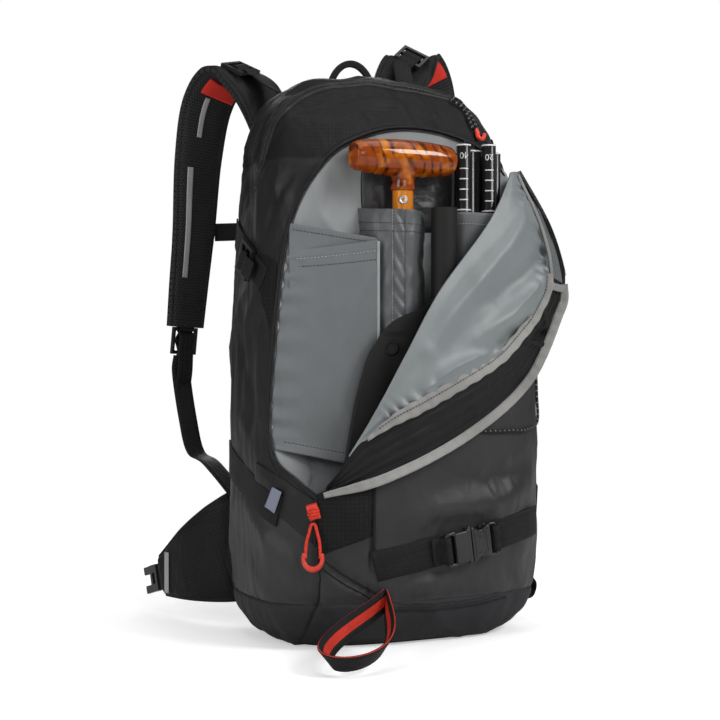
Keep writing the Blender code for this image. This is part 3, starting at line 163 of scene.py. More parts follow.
bpy.ops.object.select_all(action="DESELECT")
bpy.ops.mesh.primitive_plane_add(size=12.0, location=(0.0, 0.0, -0.0006))
floor = bpy.context.object
floor.name = "studio_floor"
floor.data.materials.append(bpy.data.materials.new("studio_floor"))
floor.active_material.use_nodes = True
start = Wire(floor.active_material.node_tree)
start.tree.nodes.clear()
white = (1.0, 1.0, 1.0, 1.0)
place = start.node("TexCoord", out=3)
away = start.node("VectorMath", {0: place}, 1, operation="LENGTH").spread(0.45, 0.95)
matt = start.node("BsdfDiffuse", {"Color": (0.80, 0.80, 0.80, 1.0)})
lift = start.node("Emission", {"Color": white, "Strength": 0.42})
lifted = start.node("AddShader", {0: matt, 1: lift})
near = start.node("MixShader", {0: start.seen(), 1: matt, 2: lifted})
far = start.node("Emission", {"Color": white, "Strength": 1.0})
start.node("OutputMaterial", {"Surface": start.node("MixShader", {0: away * start.seen(), 1: near, 2: far})})
floor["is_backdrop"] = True

bpy.context.scene.world = bpy.data.worlds.new("studio_white")
bpy.context.scene.world.use_nodes = True
start = Wire(bpy.context.scene.world.node_tree)
start.tree.nodes.clear()
plain = start.node("Background", {"Color": white, "Strength": 0.18})
bright = start.node("Background", {"Color": white, "Strength": 1.0})
start.node("OutputWorld", {"Surface": start.node("MixShader", {0: start.seen(), 1: plain, 2: bright})})

soft_box("key_box", (1.25, -1.75, 1.75), (0.0, 0.0, 0.30), (0.9, 0.9), 39.0)
soft_box("top_box", (0.0, -0.2, 2.1), (0.0, 0.0, 0.3), (1.8, 1.4), 12.0)
soft_box("front_box", (-0.35, -2.3, 1.05), (0.0, 0.0, 0.32), (1.0, 0.8), 9.0)
soft_box("side_box", (-1.9, -0.7, 0.9), (0.0, 0.0, 0.3), (0.8, 1.3), 15.0)
soft_box("back_box", (0.4, 2.0, 1.1), (0.0, 0.0, 0.35), (1.6, 1.0), 26.0)

bpy.ops.object.camera_add(location=(-0.680, -1.337, 0.275), rotation=(math.pi / 2, 0.0, math.radians(-26.0)))
camera = bpy.context.object
camera.data.sensor_width, camera.data.lens = 36.0, 73.3
bpy.context.scene.camera = camera
bpy.context.scene.view_settings.view_transform = "Standard"


# The bag's body: cut panels of coated nylon sewn edge to edge round the load, black ripstop above and
# charcoal below. The seams draw the cloth in, the straps press it down, and it folds a little between them.
HEIGHT, HALF_WIDTH, HALF_DEPTH = 0.570, 0.152, 0.102
OUTLINE = (
    (0.000, 0.760, 0.700, 0.00),
    (0.026, 0.885, 0.855, 0.00),
    (0.079, 0.972, 0.960, -0.02),
    (0.263, 1.000, 1.000, -0.05),
    (0.526, 0.987, 0.965, -0.02),
    (0.737, 0.930, 0.870, 0.08),
    (0.825, 0.885, 0.780, 0.157),
    (0.881, 0.835, 0.680, 0.226),
    (0.928, 0.760, 0.545, 0.300),
    (0.965, 0.615, 0.400, 0.350),
    (0.986, 0.430, 0.250, 0.370),
    (1.000, 0.010, 0.010, 0.380),
)
BASE_SEAM, TOP_SEAM, BACK_SEAM, FRONT_SEAM, SIDE_SEAM = 0.045, 0.470, 0.070, -0.066, -0.040
ACROSS = np.array((math.cos(math.radians(26.0)), -math.sin(math.radians(26.0)), 0.0))
INWARD = np.array((math.sin(math.radians(26.0)), math.cos(math.radians(26.0)), 0.0))
UP = np.array((0.0, 0.0, 1.0))


def through(points, steps):
    """A smooth curve through points, with that many steps to each stretch."""
    points = np.asarray(points, float)
    ends = np.vstack([2 * points[0] - points[1], points, 2 * points[-1] - points[-2]])
    t = (np.arange(steps) / steps)[:, None]
    line = []
    for a, b, c, d in zip(ends, ends[1:], ends[2:], ends[3:]):
        square, cube = 2 * a - 5 * b + 4 * c - d, 3 * b - a - 3 * c + d
        line.append(0.5 * (2 * b + (c - a) * t + square * t**2 + cube * t**3))
    return np.vstack([*line, points[-1:]])


def way_along(line):
    """How far along a line each of its points lies."""
    return np.concatenate([[0.0], np.cumsum(np.linalg.norm(np.diff(line, axis=0), axis=1))])


def evenly(line, count):
    """That many points at even distances along a line."""
    line = np.asarray(line, float)
    far = way_along(line)
    want = np.linspace(0.0, far[-1], count)
    return np.stack([np.interp(want, far, line[:, k]) for k in range(line.shape[1])], axis=1)


def unit(vectors):
    return vectors / np.maximum(np.linalg.norm(vectors, axis=-1, keepdims=True), 1e-12)


outline = through(np.array(OUTLINE) * (HEIGHT, HALF_WIDTH, HALF_DEPTH, HALF_DEPTH), 24)


def section(z):
    return [np.interp(z, outline[:, 0], outline[:, k]) for k in (1, 2, 3)]


def fullness(points):
    """Below one inside the bag's outline, one on it and above one outside it."""
    points = np.asarray(points, float)
    width, depth, centre = section(points[..., 2])
    off = points[..., 1] - centre
    power = np.where(off > 0, 4.0, 3.0)
    return np.abs(points[..., 0] / width) ** power + np.abs(off / depth) ** power


def skin_normal(points):
    points = np.asarray(points, float)
    step = 0.0005
    return unit(
        np.stack([fullness(points + step * e) - fullness(points - step * e) for e in np.eye(3)], axis=-1)
    )


def skin_y(x, z, side):
    width, depth, centre = section(z)
    power = 3.0 if side < 0 else 4.0
    return centre + side * depth * np.maximum(0.0, 1.0 - np.abs(x / width) ** power) ** (1.0 / power)


def skin_x(y, z, side):
    width, depth, centre = section(z)
    power = np.where(y > centre, 4.0, 3.0)
    return side * width * np.maximum(0.0, 1.0 - np.abs((y - centre) / depth) ** power) ** (1.0 / power)


def meets_skin(begin, end):
    """Where lines from outside the bag first meet its outline."""
    begin, end = np.atleast_2d(begin), np.atleast_2d(end)
    steps = np.linspace(0.0, 1.0, 241)[:, None, None]
    inside = fullness(begin + (end - begin) * steps) <= 1.0
    first = np.argmax(inside, axis=0) / 240.0
    low, high = first - 1 / 240.0, first
    for _ in range(20):
        middle = 0.5 * (low + high)
        deep = fullness(begin + (end - begin) * middle[:, None]) <= 1.0
        low, high = np.where(deep, low, middle), np.where(deep, middle, high)
    return begin + (end - begin) * low[:, None]


def on_opening(flat, out=0.0):
    """Points of the bag's outside from pairs of across and up, square to the opened front."""
    flat = np.atleast_2d(flat)
    level = flat[:, :1] * ACROSS + flat[:, 1:2] * UP
    found = meets_skin(level - 0.3 * INWARD, level + 0.2 * INWARD)
    return found + skin_normal(found) * out


def on_view(pixels, out=0.0):
    """Points of the bag's outside that the camera sees at these places of its square picture."""
    pixels = np.atleast_2d(np.asarray(pixels, float))
    eye = np.array((-0.680, -1.337, 0.275))
    scale = 36.0 / 73.3 / 720.0
    right, down = (pixels[:, :1] - 360.0) * scale, (pixels[:, 1:2] - 360.0) * scale
    ahead = eye + 2.0 * (INWARD + right * ACROSS - down * UP)
    found = meets_skin(np.repeat(eye[None], len(pixels), 0), ahead)
    return found + skin_normal(found) * out


def mesh_piece(name, points, faces, flat):
    """A new object from points and faces, with its place on the cloth, in metres, as the UV map weave."""
    mesh = bpy.data.meshes.new(name)
    mesh.from_pydata(np.asarray(points).reshape(-1, 3).tolist(), [], faces)
    mesh.uv_layers.new(name="weave").data.foreach_set("uv", np.asarray(flat, np.float32).ravel())
    mesh.shade_smooth()
    made = bpy.data.objects.new(name, mesh)
    bpy.context.scene.collection.objects.link(made)
    return made


def woven(name, grid, flat, wrap=False):
    """A cloth over a grid of points. wrap joins the last column to the first."""
    rows, columns = grid.shape[:2]
    wide = columns if wrap else columns - 1
    r, c = np.meshgrid(np.arange(rows - 1), np.arange(wide), indexing="ij")
    n = (c + 1) % columns
    faces = np.stack([r * columns + c, r * columns + n, (r + 1) * columns + n, (r + 1) * columns + c], -1)
    corners = np.stack([flat[r, c], flat[r, c + 1], flat[r + 1, c + 1], flat[r + 1, c]], -2)
    return mesh_piece(name, grid, faces.reshape(-1, 4).tolist(), corners)


def select_only(obj):
    bpy.ops.object.select_all(action="DESELECT")
    obj.select_set(True)
    bpy.context.view_layer.objects.active = obj


def apply_modifiers(obj):
    select_only(obj)
    for modifier in list(obj.modifiers):
        bpy.ops.object.modifier_apply(modifier=modifier.name)
    return obj


def thicken(obj, thickness, offset=-1.0):
    modifier = obj.modifiers.new("wall", "SOLIDIFY")
    modifier.thickness, modifier.offset = thickness, offset
    return apply_modifiers(obj)


def wave(points, size, seed=0.0, octaves=2):
    """Soft noise from about -1 to 1 at points, with that size of bump."""
    shape = np.asarray(points).shape[:-1]
    flat = (np.asarray(points, float).reshape(-1, 3) / size + seed).tolist()
    values = np.zeros(len(flat))
    for k in range(octaves):
        values += [noise.noise(Vector(p) * 2**k) / 2**k for p in flat]
    return values.reshape(shape)


def line_distance(points, line):
    """Distance from points to a line, and how far along the line that is."""
    points = np.asarray(points, float)
    best, along, far = np.full(points.shape[:-1], 9.0), np.zeros(points.shape[:-1]), 0.0
    for a, b in zip(line, line[1:]):
        length = np.linalg.norm(b - a)
        t = np.clip((points - a) @ (b - a) / length**2, 0.0, 1.0)
        gap = np.linalg.norm(points - a - t[..., None] * (b - a), axis=-1)
        along = np.where(gap < best, far + t * length, along)
        best = np.minimum(best, gap)
        far += length
    return best, along


def bell(distance, width):
    return np.exp(-((distance / width) ** 2))


def side_line(side, back, front, count=40):
    """A line on the bag's side between two places given as y and z."""
    flat = np.linspace(back, front, count)
    return np.column_stack([skin_x(flat[:, 0], flat[:, 1], side), flat])


def front_line(left, right, count=40):
    """A line on the bag's front between two places given as x and z."""
    flat = np.linspace(left, right, count)
    return np.column_stack([flat[:, 0], skin_y(flat[:, 0], flat[:, 1], -1), flat[:, 1]])


ZIP_LINE = (
    (-0.064, 0.144), (-0.085, 0.161), (-0.105, 0.178), (-0.112, 0.205), (-0.112, 0.240), (-0.107, 0.304),
    (-0.098, 0.380), (-0.083, 0.430), (-0.054, 0.473), (-0.025, 0.493), (0.008, 0.505), (0.046, 0.506),
    (0.085, 0.496), (0.112, 0.481), (0.124, 0.465),
)
SEWN_EDGE = (
    (0.1285, 0.440), (0.1285, 0.400), (0.1240, 0.360), (0.1040, 0.300), (0.0600, 0.230), (0.0, 0.178),
)
UPPER_STRAP = ((0.064, 0.408), (-0.030, 0.352))
LOWER_STRAP = ((0.064, 0.180), (-0.062, 0.132))
FRONT_STRAP = ((-0.063, 0.080), (0.118, 0.112))
zip_flat = through(ZIP_LINE, 6)
sewn_flat = through((ZIP_LINE[-1], *SEWN_EDGE, ZIP_LINE[0]), 6)
mouth = np.vstack([zip_flat, sewn_flat[1:-1]])
mouth_line = on_opening(mouth)

columns, rises, base_rings = 264, 150, 16
heights = evenly(outline[:, :3], rises)[:, 0]
theta = np.linspace(0.0, 2 * math.pi, 2401)
rings = []
for z in heights:
    width, depth, centre = section(z)
    power = 2.0 / np.where(np.cos(theta) > 0, 4.0, 3.0)
    x = -width * np.sign(np.sin(theta)) * np.abs(np.sin(theta)) ** power
    y = centre + depth * np.sign(np.cos(theta)) * np.abs(np.cos(theta)) ** power
    rings.append(evenly(np.column_stack([x, y, np.full_like(x, z)]), columns + 1)[:-1])
under = [rings[0] * (s, s, 1.0) for s in np.linspace(0.02, 1.0, base_rings, endpoint=False)]
body = np.array(under + rings)
around = np.linspace(0.0, 0.84, columns + 1)
rise = np.concatenate([np.linspace(-0.11, 0.0, base_rings, endpoint=False), np.linspace(0.0, 0.62, rises)])
body_flat = np.stack(np.meshgrid(around, rise), axis=-1)
turn = np.roll(body, -1, axis=1) - np.roll(body, 1, axis=1)
body_out = unit(np.cross(turn, np.gradient(body, axis=0)))

# Folds of the body: broad slack, drag lines towards the straps, drawn-in seams with their puckers
strap_lines = [side_line(s, *ends) for s in (-1, 1) for ends in (UPPER_STRAP, LOWER_STRAP)]
strap_lines += [front_line(*FRONT_STRAP), side_line(1, (0.012, 0.052), (-0.020, 0.052))]
pressed = np.min([line_distance(body, line[::4])[0] for line in strap_lines], axis=0)
lip = line_distance(body, mouth_line[::3])[0]
slack = (1.0 - bell(pressed, 0.024)) * (1.0 - bell(lip, 0.016)) * (body[..., 2] > 0.004)
slack *= 1.0 - np.clip((body[..., 1] - 0.060) / 0.012, 0.0, 1.0)
stretched = body * (1.0, 1.0, 0.45)
folds = 0.0032 * wave(stretched, 0.075, 3.1) + 0.0013 * wave(body * (1.0, 1.0, 0.7), 0.030, 7.7)
sharp = 1.0 - np.abs(wave(body * (1.0, 1.0, 0.6), 0.085, 31.7, 1))
folds += 0.0030 * sharp**6
side_share = np.clip((np.abs(body[..., 0]) - 0.085) / 0.05, 0.0, 1.0)
folds += side_share * 0.0019 * wave(body * (1.0, 2.2, 0.5), 0.035, 21.3)
top_share = np.clip((body[..., 2] - 0.47) / 0.05, 0.0, 1.0)
folds += top_share * 0.0024 * wave(body * (0.6, 2.0, 2.0), 0.042, 12.4)
folds = slack * folds - 0.0012 * bell(pressed, 0.015)
front = body[..., 1] < 0.0
seams = [
    (np.abs(body[..., 2] - BASE_SEAM), body[..., 2] > 0.02, 0.0016),
    (np.abs(body[..., 2] - TOP_SEAM), body[..., 1] < BACK_SEAM, 0.0010),
    (np.abs(body[..., 1] - BACK_SEAM), body[..., 2] > BASE_SEAM, 0.0016),
    (np.abs(body[..., 0] - FRONT_SEAM), front & (body[..., 2] > BASE_SEAM) & (body[..., 2] < 0.30), 0.0018),
    (np.abs(body[..., 1] - SIDE_SEAM), (body[..., 0] > 0) & (body[..., 2] > BASE_SEAM), 0.0012),
]
for gap, where, depth in seams:
    pucker = 0.0004 * np.sin(2 * math.pi * (body[..., 0] + body[..., 1] + body[..., 2]) / 0.013)
    folds -= where * (depth * bell(gap, 0.0028) + pucker * bell(gap, 0.010) * slack)
creases = [
    ([(320, 562), (345, 580), (388, 604)], -0.0022, 0.0042),
    ([(322, 574), (348, 590), (384, 608)], 0.0016, 0.0050),
    ([(318, 599), (324, 612), (336, 628)], -0.0016, 0.0036),
    ([(319, 548), (318, 575), (318, 599), (312, 615), (300, 640)], -0.0018, 0.0028),
    ([(398, 606), (425, 585), (455, 578)], 0.0016, 0.0080),
    ([(400, 600), (440, 596), (500, 594)], -0.0010, 0.0060),
    ([(395, 520), (440, 505), (520, 500)], 0.0018, 0.0130),
    ([(470, 440), (500, 470), (525, 478)], -0.0014, 0.0090),
    ([(262, 505), (270, 550), (290, 600)], 0.0018, 0.0100),
    ([(245, 520), (250, 570), (268, 625)], -0.0014, 0.0090),
    ([(240, 330), (247, 380), (252, 430)], -0.0016, 0.0080),
    ([(262, 330), (258, 390), (262, 430)], 0.0014, 0.0080),
    ([(300, 110), (345, 98), (400, 96)], -0.0016, 0.0050),
    ([(340, 105), (390, 104), (432, 112)], 0.0016, 0.0060),
    ([(262, 190), (268, 160), (285, 125)], -0.0010, 0.0070),
    ([(250, 222), (246, 185), (248, 150)], -0.0020, 0.0055),
    ([(257, 228), (259, 190), (270, 152)], 0.0020, 0.0060),
    ([(264, 240), (273, 208), (292, 172)], -0.0016, 0.0050),
    ([(254, 300), (248, 330), (246, 372)], 0.0018, 0.0060),
    ([(262, 300), (262, 340), (259, 390)], -0.0016, 0.0050),
    ([(392, 590), (420, 575), (470, 566)], -0.0018, 0.0060),
    ([(500, 440), (512, 480), (515, 515)], 0.0016, 0.0100),
    ([(395, 540), (430, 512), (480, 505), (528, 484)], 0.0026, 0.0120),
    ([(450, 470), (490, 478), (528, 462)], -0.0020, 0.0110),
    ([(420, 515), (440, 525), (500, 512)], -0.0014, 0.0080),
    ([(500, 560), (515, 590), (505, 615)], -0.0018, 0.0070),
    ([(240, 480), (262, 520), (300, 552)], -0.0018, 0.0060),
    ([(245, 500), (272, 545), (312, 575)], 0.0016, 0.0080),
]
for pixels, depth, width in creases:
    gap, along = line_distance(body, evenly(through(on_view(pixels), 4), 14))
    ends = np.sin(np.clip(along / np.max(along), 0.02, 0.98) * math.pi) ** 0.5
    folds += 1.35 * depth * bell(gap, width) * ends
body = body + body_out * folds[..., None]
body[..., 2] = np.maximum(body[..., 2], 0.0004)
r, c = np.meshgrid(np.arange(len(body) - 1), np.arange(columns), indexing="ij")
n = (c + 1) % columns
quads = np.stack([r * columns + c, r * columns + n, (r + 1) * columns + n, (r + 1) * columns + c], -1)
cloth_tree = BVHTree.FromPolygons(body.reshape(-1, 3).tolist(), quads.reshape(-1, 4).tolist())


def on_cloth(points, out=0.0):
    """Points laid on the folded cloth at its nearest place, and out from it."""
    points = np.asarray(points, float)
    near = np.array([cloth_tree.find_nearest(Vector(p))[0] for p in points.reshape(-1, 3)])
    return (near + skin_normal(near) * out).reshape(points.shape)



def new_paint(name):
    """A new material, and the wire that its nodes start from."""
    paint = bpy.data.materials.new(name)
    paint.use_nodes = True
    paint.node_tree.nodes.clear()
    return paint, Wire(paint.node_tree)


def finish_paint(start, colour, rough, normal, **fixed):
    """The surface of a material. fixed holds plain numbers by their socket's name, with _ for a space."""
    inputs = {"Base Color": colour, "Roughness": rough}
    if normal is not None:
        inputs["Normal"] = normal
    inputs.update({key.replace("_", " "): value for key, value in fixed.items()})
    start.node("OutputMaterial", {"Surface": start.node("BsdfPrincipled", inputs)})


def cloth_paint(
    name, colour, cell=0.0, dark=0.5, weave=0.0012, rough=0.62, shine=0.2,
    cloud=0.16, crush=0.25, crease=1.0, foot=None,
):
    """Woven nylon.

    cell is the pitch of a ripstop's heavier threads, and foot a range of heights where painted shade darkens
    it downwards.
    """
    paint, start = new_paint(name)
    flat = start.node("UVMap", uv_map="weave")
    across, along = flat.part(0), flat.part(1)
    place = start.node("TexCoord", out=3)
    # Random mottling of the colour; where cloud is raised it also stands in for painted sheen and shade.
    cloudy = start.node("TexNoise", {"Vector": place, "Scale": 11.0, "Detail": 4.0}).spread(0.3, 0.7)
    crushed = start.node("TexNoise", {"Vector": place, "Scale": 120.0, "Detail": 3.0})
    drawn = start.node("Mapping", {"Vector": place, "Rotation": (0.3, 0.5, 0.4), "Scale": (1.0, 1.0, 0.4)})
    creases = start.node("TexNoise", {"Vector": drawn, "Scale": 30.0, "Detail": 2.0, "Distortion": 0.2})
    creases = (creases - 0.5).size().spread(0.0, 0.16) * crease
    threads = (across * (2 * math.pi / weave)).sin() * (along * (2 * math.pi / weave)).sin()
    shade = cloudy.blend(tint(colour, 1.0 - cloud), tint(colour, 1.0 + cloud))
    # Painted shade: below the foot range the colour falls to under half, as shade low in a recess.
    if foot:
        shade = place.part(2).spread(*foot).blend(tint(colour, 0.45), shade)
    height = threads * 0.12 + crushed * crush * 4.0 + creases * 1.3
    if cell:
        lines = ((across / cell).fraction() - 0.5).size().most(((along / cell).fraction() - 0.5).size())
        lines = lines.spread(0.37, 0.46)
        sides = {0: lines * (1.0 - dark), 6: shade, 7: tint(colour, 0.15)}
        shade = start.node("Mix", sides, 2, data_type="RGBA")
        height = height - lines * 0.7
    normal = start.node("Bump", {"Strength": 0.45, "Distance": 0.0006, "Height": height})
    finish_paint(start, shade, cloudy * 0.08 + (rough - 0.04), normal, Specular_IOR_Level=shine)
    return paint


def wear(obj, paint, body, *nodes, slot=None):
    """A finished piece: its material, the body it moves with and the frame's solids it stands for."""
    obj.data.materials.clear()
    obj.data.materials.append(paint)
    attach(obj, body)
    if nodes:
        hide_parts(*nodes)
    return obj


def cut(obj, place, keep):
    """Cuts a mesh by a plane, and keeps the side that keep points to."""
    select_only(obj)
    bpy.ops.object.mode_set(mode="EDIT")
    bpy.ops.mesh.select_all(action="SELECT")
    bpy.ops.mesh.bisect(plane_co=place, plane_no=keep, clear_inner=True)
    bpy.ops.object.mode_set(mode="OBJECT")
    return obj


def copy_of(obj, name):
    made = obj.copy()
    made.data = obj.data.copy()
    made.name = made.data.name = name
    bpy.context.scene.collection.objects.link(made)
    return made


def opening_cutter():
    """The solid that cuts the opened front out of the cloth, square to the opening."""
    depth = mouth_line @ INWARD + 0.030
    level = mouth[:, :1] * ACROSS + mouth[:, 1:] * UP
    count = len(mouth)
    points = np.vstack([level - 0.3 * INWARD, level + depth[:, None] * INWARD])
    faces = [[k, (k + 1) % count, count + (k + 1) % count, count + k] for k in range(count)]
    faces += [list(range(count))[::-1], list(range(count, 2 * count))]
    made = mesh_piece("opening_cutter", points, faces, np.zeros((sum(map(len, faces)), 2)))
    select_only(made)
    bpy.ops.object.mode_set(mode="EDIT")
    bpy.ops.mesh.select_all(action="SELECT")
    bpy.ops.mesh.normals_make_consistent(inside=False)
    bpy.ops.object.mode_set(mode="OBJECT")
    return made


def open_front(obj):
    modifier = obj.modifiers.new("opening", "BOOLEAN")
    modifier.object, modifier.operation, modifier.solver = cutter, "DIFFERENCE", "EXACT"
    apply_modifiers(obj)
    bpy.ops.object.shade_smooth_by_angle(angle=math.radians(50.0))
    return obj


black_ripstop = cloth_paint(
    "black_ripstop", (0.0080, 0.0077, 0.0086), 0.0042, 0.15, rough=0.52, shine=0.18, crease=2.6,
)
# Its raised cloud is partly random tone and partly painted sheen and shade, in place of fold highlights.
black_nylon = cloth_paint(
    "black_nylon", (0.0105, 0.0102, 0.0112), rough=0.46, shine=0.26, cloud=0.26, crush=0.3, crease=2.6,
)
# Its raised cloud is partly random tone and partly painted sheen and shade, in place of fold highlights.
charcoal_nylon = cloth_paint(
    "charcoal_nylon", (0.0235, 0.0235, 0.0252), rough=0.46, shine=0.32, cloud=0.26, crush=0.3, crease=2.0,
)
base_nylon = cloth_paint("base_nylon", (0.0270, 0.0270, 0.0292), rough=0.56, shine=0.12, crush=0.3)
cutter = opening_cutter()
body_cloth = woven("body_cloth", body, body_flat, wrap=True)
forward, backward = (0.0, -1.0, 0.0), (0.0, 1.0, 0.0)
leftward, rightward = (-1.0, 0.0, 0.0), (1.0, 0.0, 0.0)
upward, downward = (0.0, 0.0, 1.0), (0.0, 0.0, -1.0)
middle_cuts = [((0, 0, BASE_SEAM), upward), ((0, 0, TOP_SEAM), downward)]
slant, above, below = (0.0, 0.064, 0.180), (0.0, -0.356, 0.934), (0.0, 0.356, -0.934)
left_cuts = [((0, BACK_SEAM, 0), forward), ((FRONT_SEAM, 0, 0), leftward), *middle_cuts]
right_cuts = [((0, BACK_SEAM, 0), forward), ((0, SIDE_SEAM, 0), backward), ((0, 0, 0), rightward)]
right_cuts += middle_cuts
panel_cuts = {
    "base_panel": [((0, 0, BASE_SEAM), downward)],
    "back_panel": [((0, BACK_SEAM, 0), backward), ((0, 0, BASE_SEAM), upward)],
    "top_panel": [((0, BACK_SEAM, 0), forward), ((0, 0, TOP_SEAM), upward)],
    "left_side_panel": [*left_cuts, (slant, above)],
    "left_side_panel_low": [*left_cuts, (slant, below)],
    "right_side_panel": [*right_cuts, (slant, above)],
    "right_side_panel_low": [*right_cuts, (slant, below)],
    "front_panel": [((0, SIDE_SEAM, 0), forward), ((FRONT_SEAM, 0, 0), rightward), *middle_cuts],
}
for name, cuts in panel_cuts.items():
    panel = copy_of(body_cloth, name + "_cloth")
    for place, keep in cuts:
        cut(panel, place, keep)
    thicken(panel, 0.0020)
    if name not in ("base_panel", "back_panel"):
        open_front(panel)
    dark = name in ("top_panel", "back_panel", "left_side_panel", "right_side_panel")
    own_paint = {"top_panel": black_ripstop, "back_panel": black_ripstop, "base_panel": base_nylon}
    panel_paint = own_paint.get(name) or (black_nylon if dark else charcoal_nylon)
    cloth = "ripstop_black" if dark else "coated_charcoal"
    wear(panel, panel_paint, "pack", name.removesuffix("_low"), slot=cloth)
bpy.data.objects.remove(body_cloth)


# The tool compartment's lining: light grey nylon sewn into the bag's front, and a divider of the same cloth
# that closes it off from the main load. It hangs a little slack and shows soft folds.
# The lining's colour carries painted shade: its foot range darkens it towards the compartment's bottom.
lining_grey = cloth_paint(
    "lining_grey", (0.276, 0.288, 0.292), weave=0.0010, rough=0.6, cloud=0.05, crease=1.8,
    foot=(0.150, 0.205),
)
WALL_Y, SLOPE = -0.042, 0.030
rim = np.vstack([evenly(zip_flat, 150), evenly(sewn_flat, 91)[1:-1]])
sloped = np.concatenate([np.ones(150), np.zeros(89)])
sloped = np.convolve(np.pad(sloped, 4, mode="wrap"), np.ones(9) / 9, mode="valid")
heart = np.array((0.010, 0.330))
spokes = unit(rim - heart)
spread_rim = rim + spokes * (0.050 * (1.0 - sloped))[:, None]
for _ in range(12):
    level = (WALL_Y - ACROSS[1] * spread_rim[:, 0]) / INWARD[1]
    spots = spread_rim[:, :1] * ACROSS + spread_rim[:, 1:] * UP + level[:, None] * INWARD
    spread_rim = np.where((fullness(spots) > 0.82)[:, None], 0.85 * spread_rim + 0.15 * rim, spread_rim)
rim_depth = on_opening(rim, -0.0016) @ INWARD
share = np.linspace(1.0, 0.02, 70)[:, None, None]
lining = heart + (spread_rim - heart) * share
inset = np.linalg.norm(spread_rim - heart, axis=1) * (1.0 - share[..., 0])
ease = np.clip(inset / SLOPE, 0.0, 1.0)
ease = 1.0 - sloped * (1.0 - np.sin(0.5 * math.pi * ease) ** 1.3)
level = (WALL_Y - ACROSS[1] * lining[..., 0]) / INWARD[1]
depth = rim_depth + (level - rim_depth) * ease
lining_flat = np.concatenate([lining, lining[:, :1]], axis=1)
lining = lining[..., :1] * ACROSS + lining[..., 1:] * UP + depth[..., None] * INWARD
creased = 1.0 - np.abs(wave(lining * (1.0, 0.3, 0.7), 0.060, 9.3, 1))
slack = 0.0028 * wave(lining * (1.0, 0.3, 0.45), 0.035, 5.0) - 0.0032 * creased**7
lining_grid = lining + INWARD * (ease * slack)[..., None]
lining = woven("compartment_lining", lining_grid, lining_flat, wrap=True)
wear(thicken(lining, 0.0007, 1.0), lining_grey, "pack", "divider_wall", slot="lining_grey")
bpy.data.objects.remove(cutter)


# The back: a foam pad over the shoulders and a lumbar pad, each under spacer mesh with an air channel down
# its middle, sewn to the black back panel over a stiff plastic sheet.
def spacer_paint(name, colour, hole=0.0032):
    """Spacer mesh: a knitted cloth with rows of open holes."""
    paint, start = new_paint(name)
    flat = start.node("UVMap", uv_map="weave")
    across, along = flat.part(0) / hole, flat.part(1) / hole
    row = (along * 0.5).fraction().spread(0.49, 0.51)
    one, two = (across + row * 0.5).fraction() - 0.5, along.fraction() - 0.5
    ring = (one * one + two * two).spread(0.03, 0.13)
    place = start.node("TexCoord", out=3)
    cloudy = start.node("TexNoise", {"Vector": place, "Scale": 14.0, "Detail": 3.0}).spread(0.3, 0.7)
    shade = ring.blend(tint(colour, 0.25), cloudy.blend(tint(colour, 0.85), tint(colour, 1.15)))
    normal = start.node("Bump", {"Strength": 0.6, "Distance": 0.0008, "Height": ring})
    finish_paint(start, shade, ring * 0.2 + 0.6, normal, Specular_IOR_Level=0.15)
    return paint


def tube_piece(name, rings, flat, loop=False, bands=None):
    """A closed body from rings of points. loop joins the last ring to the first, and bands gives each column
    the number of its material."""
    points = np.asarray(rings, float)
    rows, columns = points.shape[:2]
    high = rows if loop else rows - 1
    r, c = np.meshgrid(np.arange(high), np.arange(columns), indexing="ij")
    n, up = (c + 1) % columns, (r + 1) % rows
    quads = [r * columns + c, r * columns + n, up * columns + n, up * columns + c]
    quads = np.stack(quads, -1).reshape(-1, 4)
    corners = np.stack([flat[r, c], flat[r, c + 1], flat[r + 1, c + 1], flat[r + 1, c]], -2).reshape(-1, 4, 2)
    p = points.reshape(-1, 3) - points.reshape(-1, 3).mean(axis=0)
    volume = np.einsum("ij,ij->i", p[quads[:, 0]], np.cross(p[quads[:, 1]], p[quads[:, 2]])).sum()
    caps = [] if loop else [np.arange(columns)[::-1], np.arange((rows - 1) * columns, rows * columns)]
    cap_flat = [] if loop else [flat[0, :columns][::-1], flat[-1, :columns]]
    if volume < 0:
        quads, corners = quads[:, ::-1], corners[:, ::-1]
        caps, cap_flat = [cap[::-1] for cap in caps], [cap[::-1] for cap in cap_flat]
    faces = quads.tolist() + [cap.tolist() for cap in caps]
    made = mesh_piece(name, points, faces, np.vstack([corners.reshape(-1, 2), *cap_flat]))
    if bands is not None:
        numbers = np.concatenate([np.tile(bands, high), np.zeros(len(caps))]).astype(np.int32)
        made.data.polygons.foreach_set("material_index", numbers)
    return made


def strap_faces(line, turn=0.30):
    """Which way a strap's outer face looks along its length."""
    count = len(line)
    across = np.zeros((count, 3))
    across[:, 0], across[:, 1] = 1.0, -np.sign(line[0, 0]) * turn * np.arange(count) / count
    return unit(np.cross(across, np.gradient(line, axis=0)))


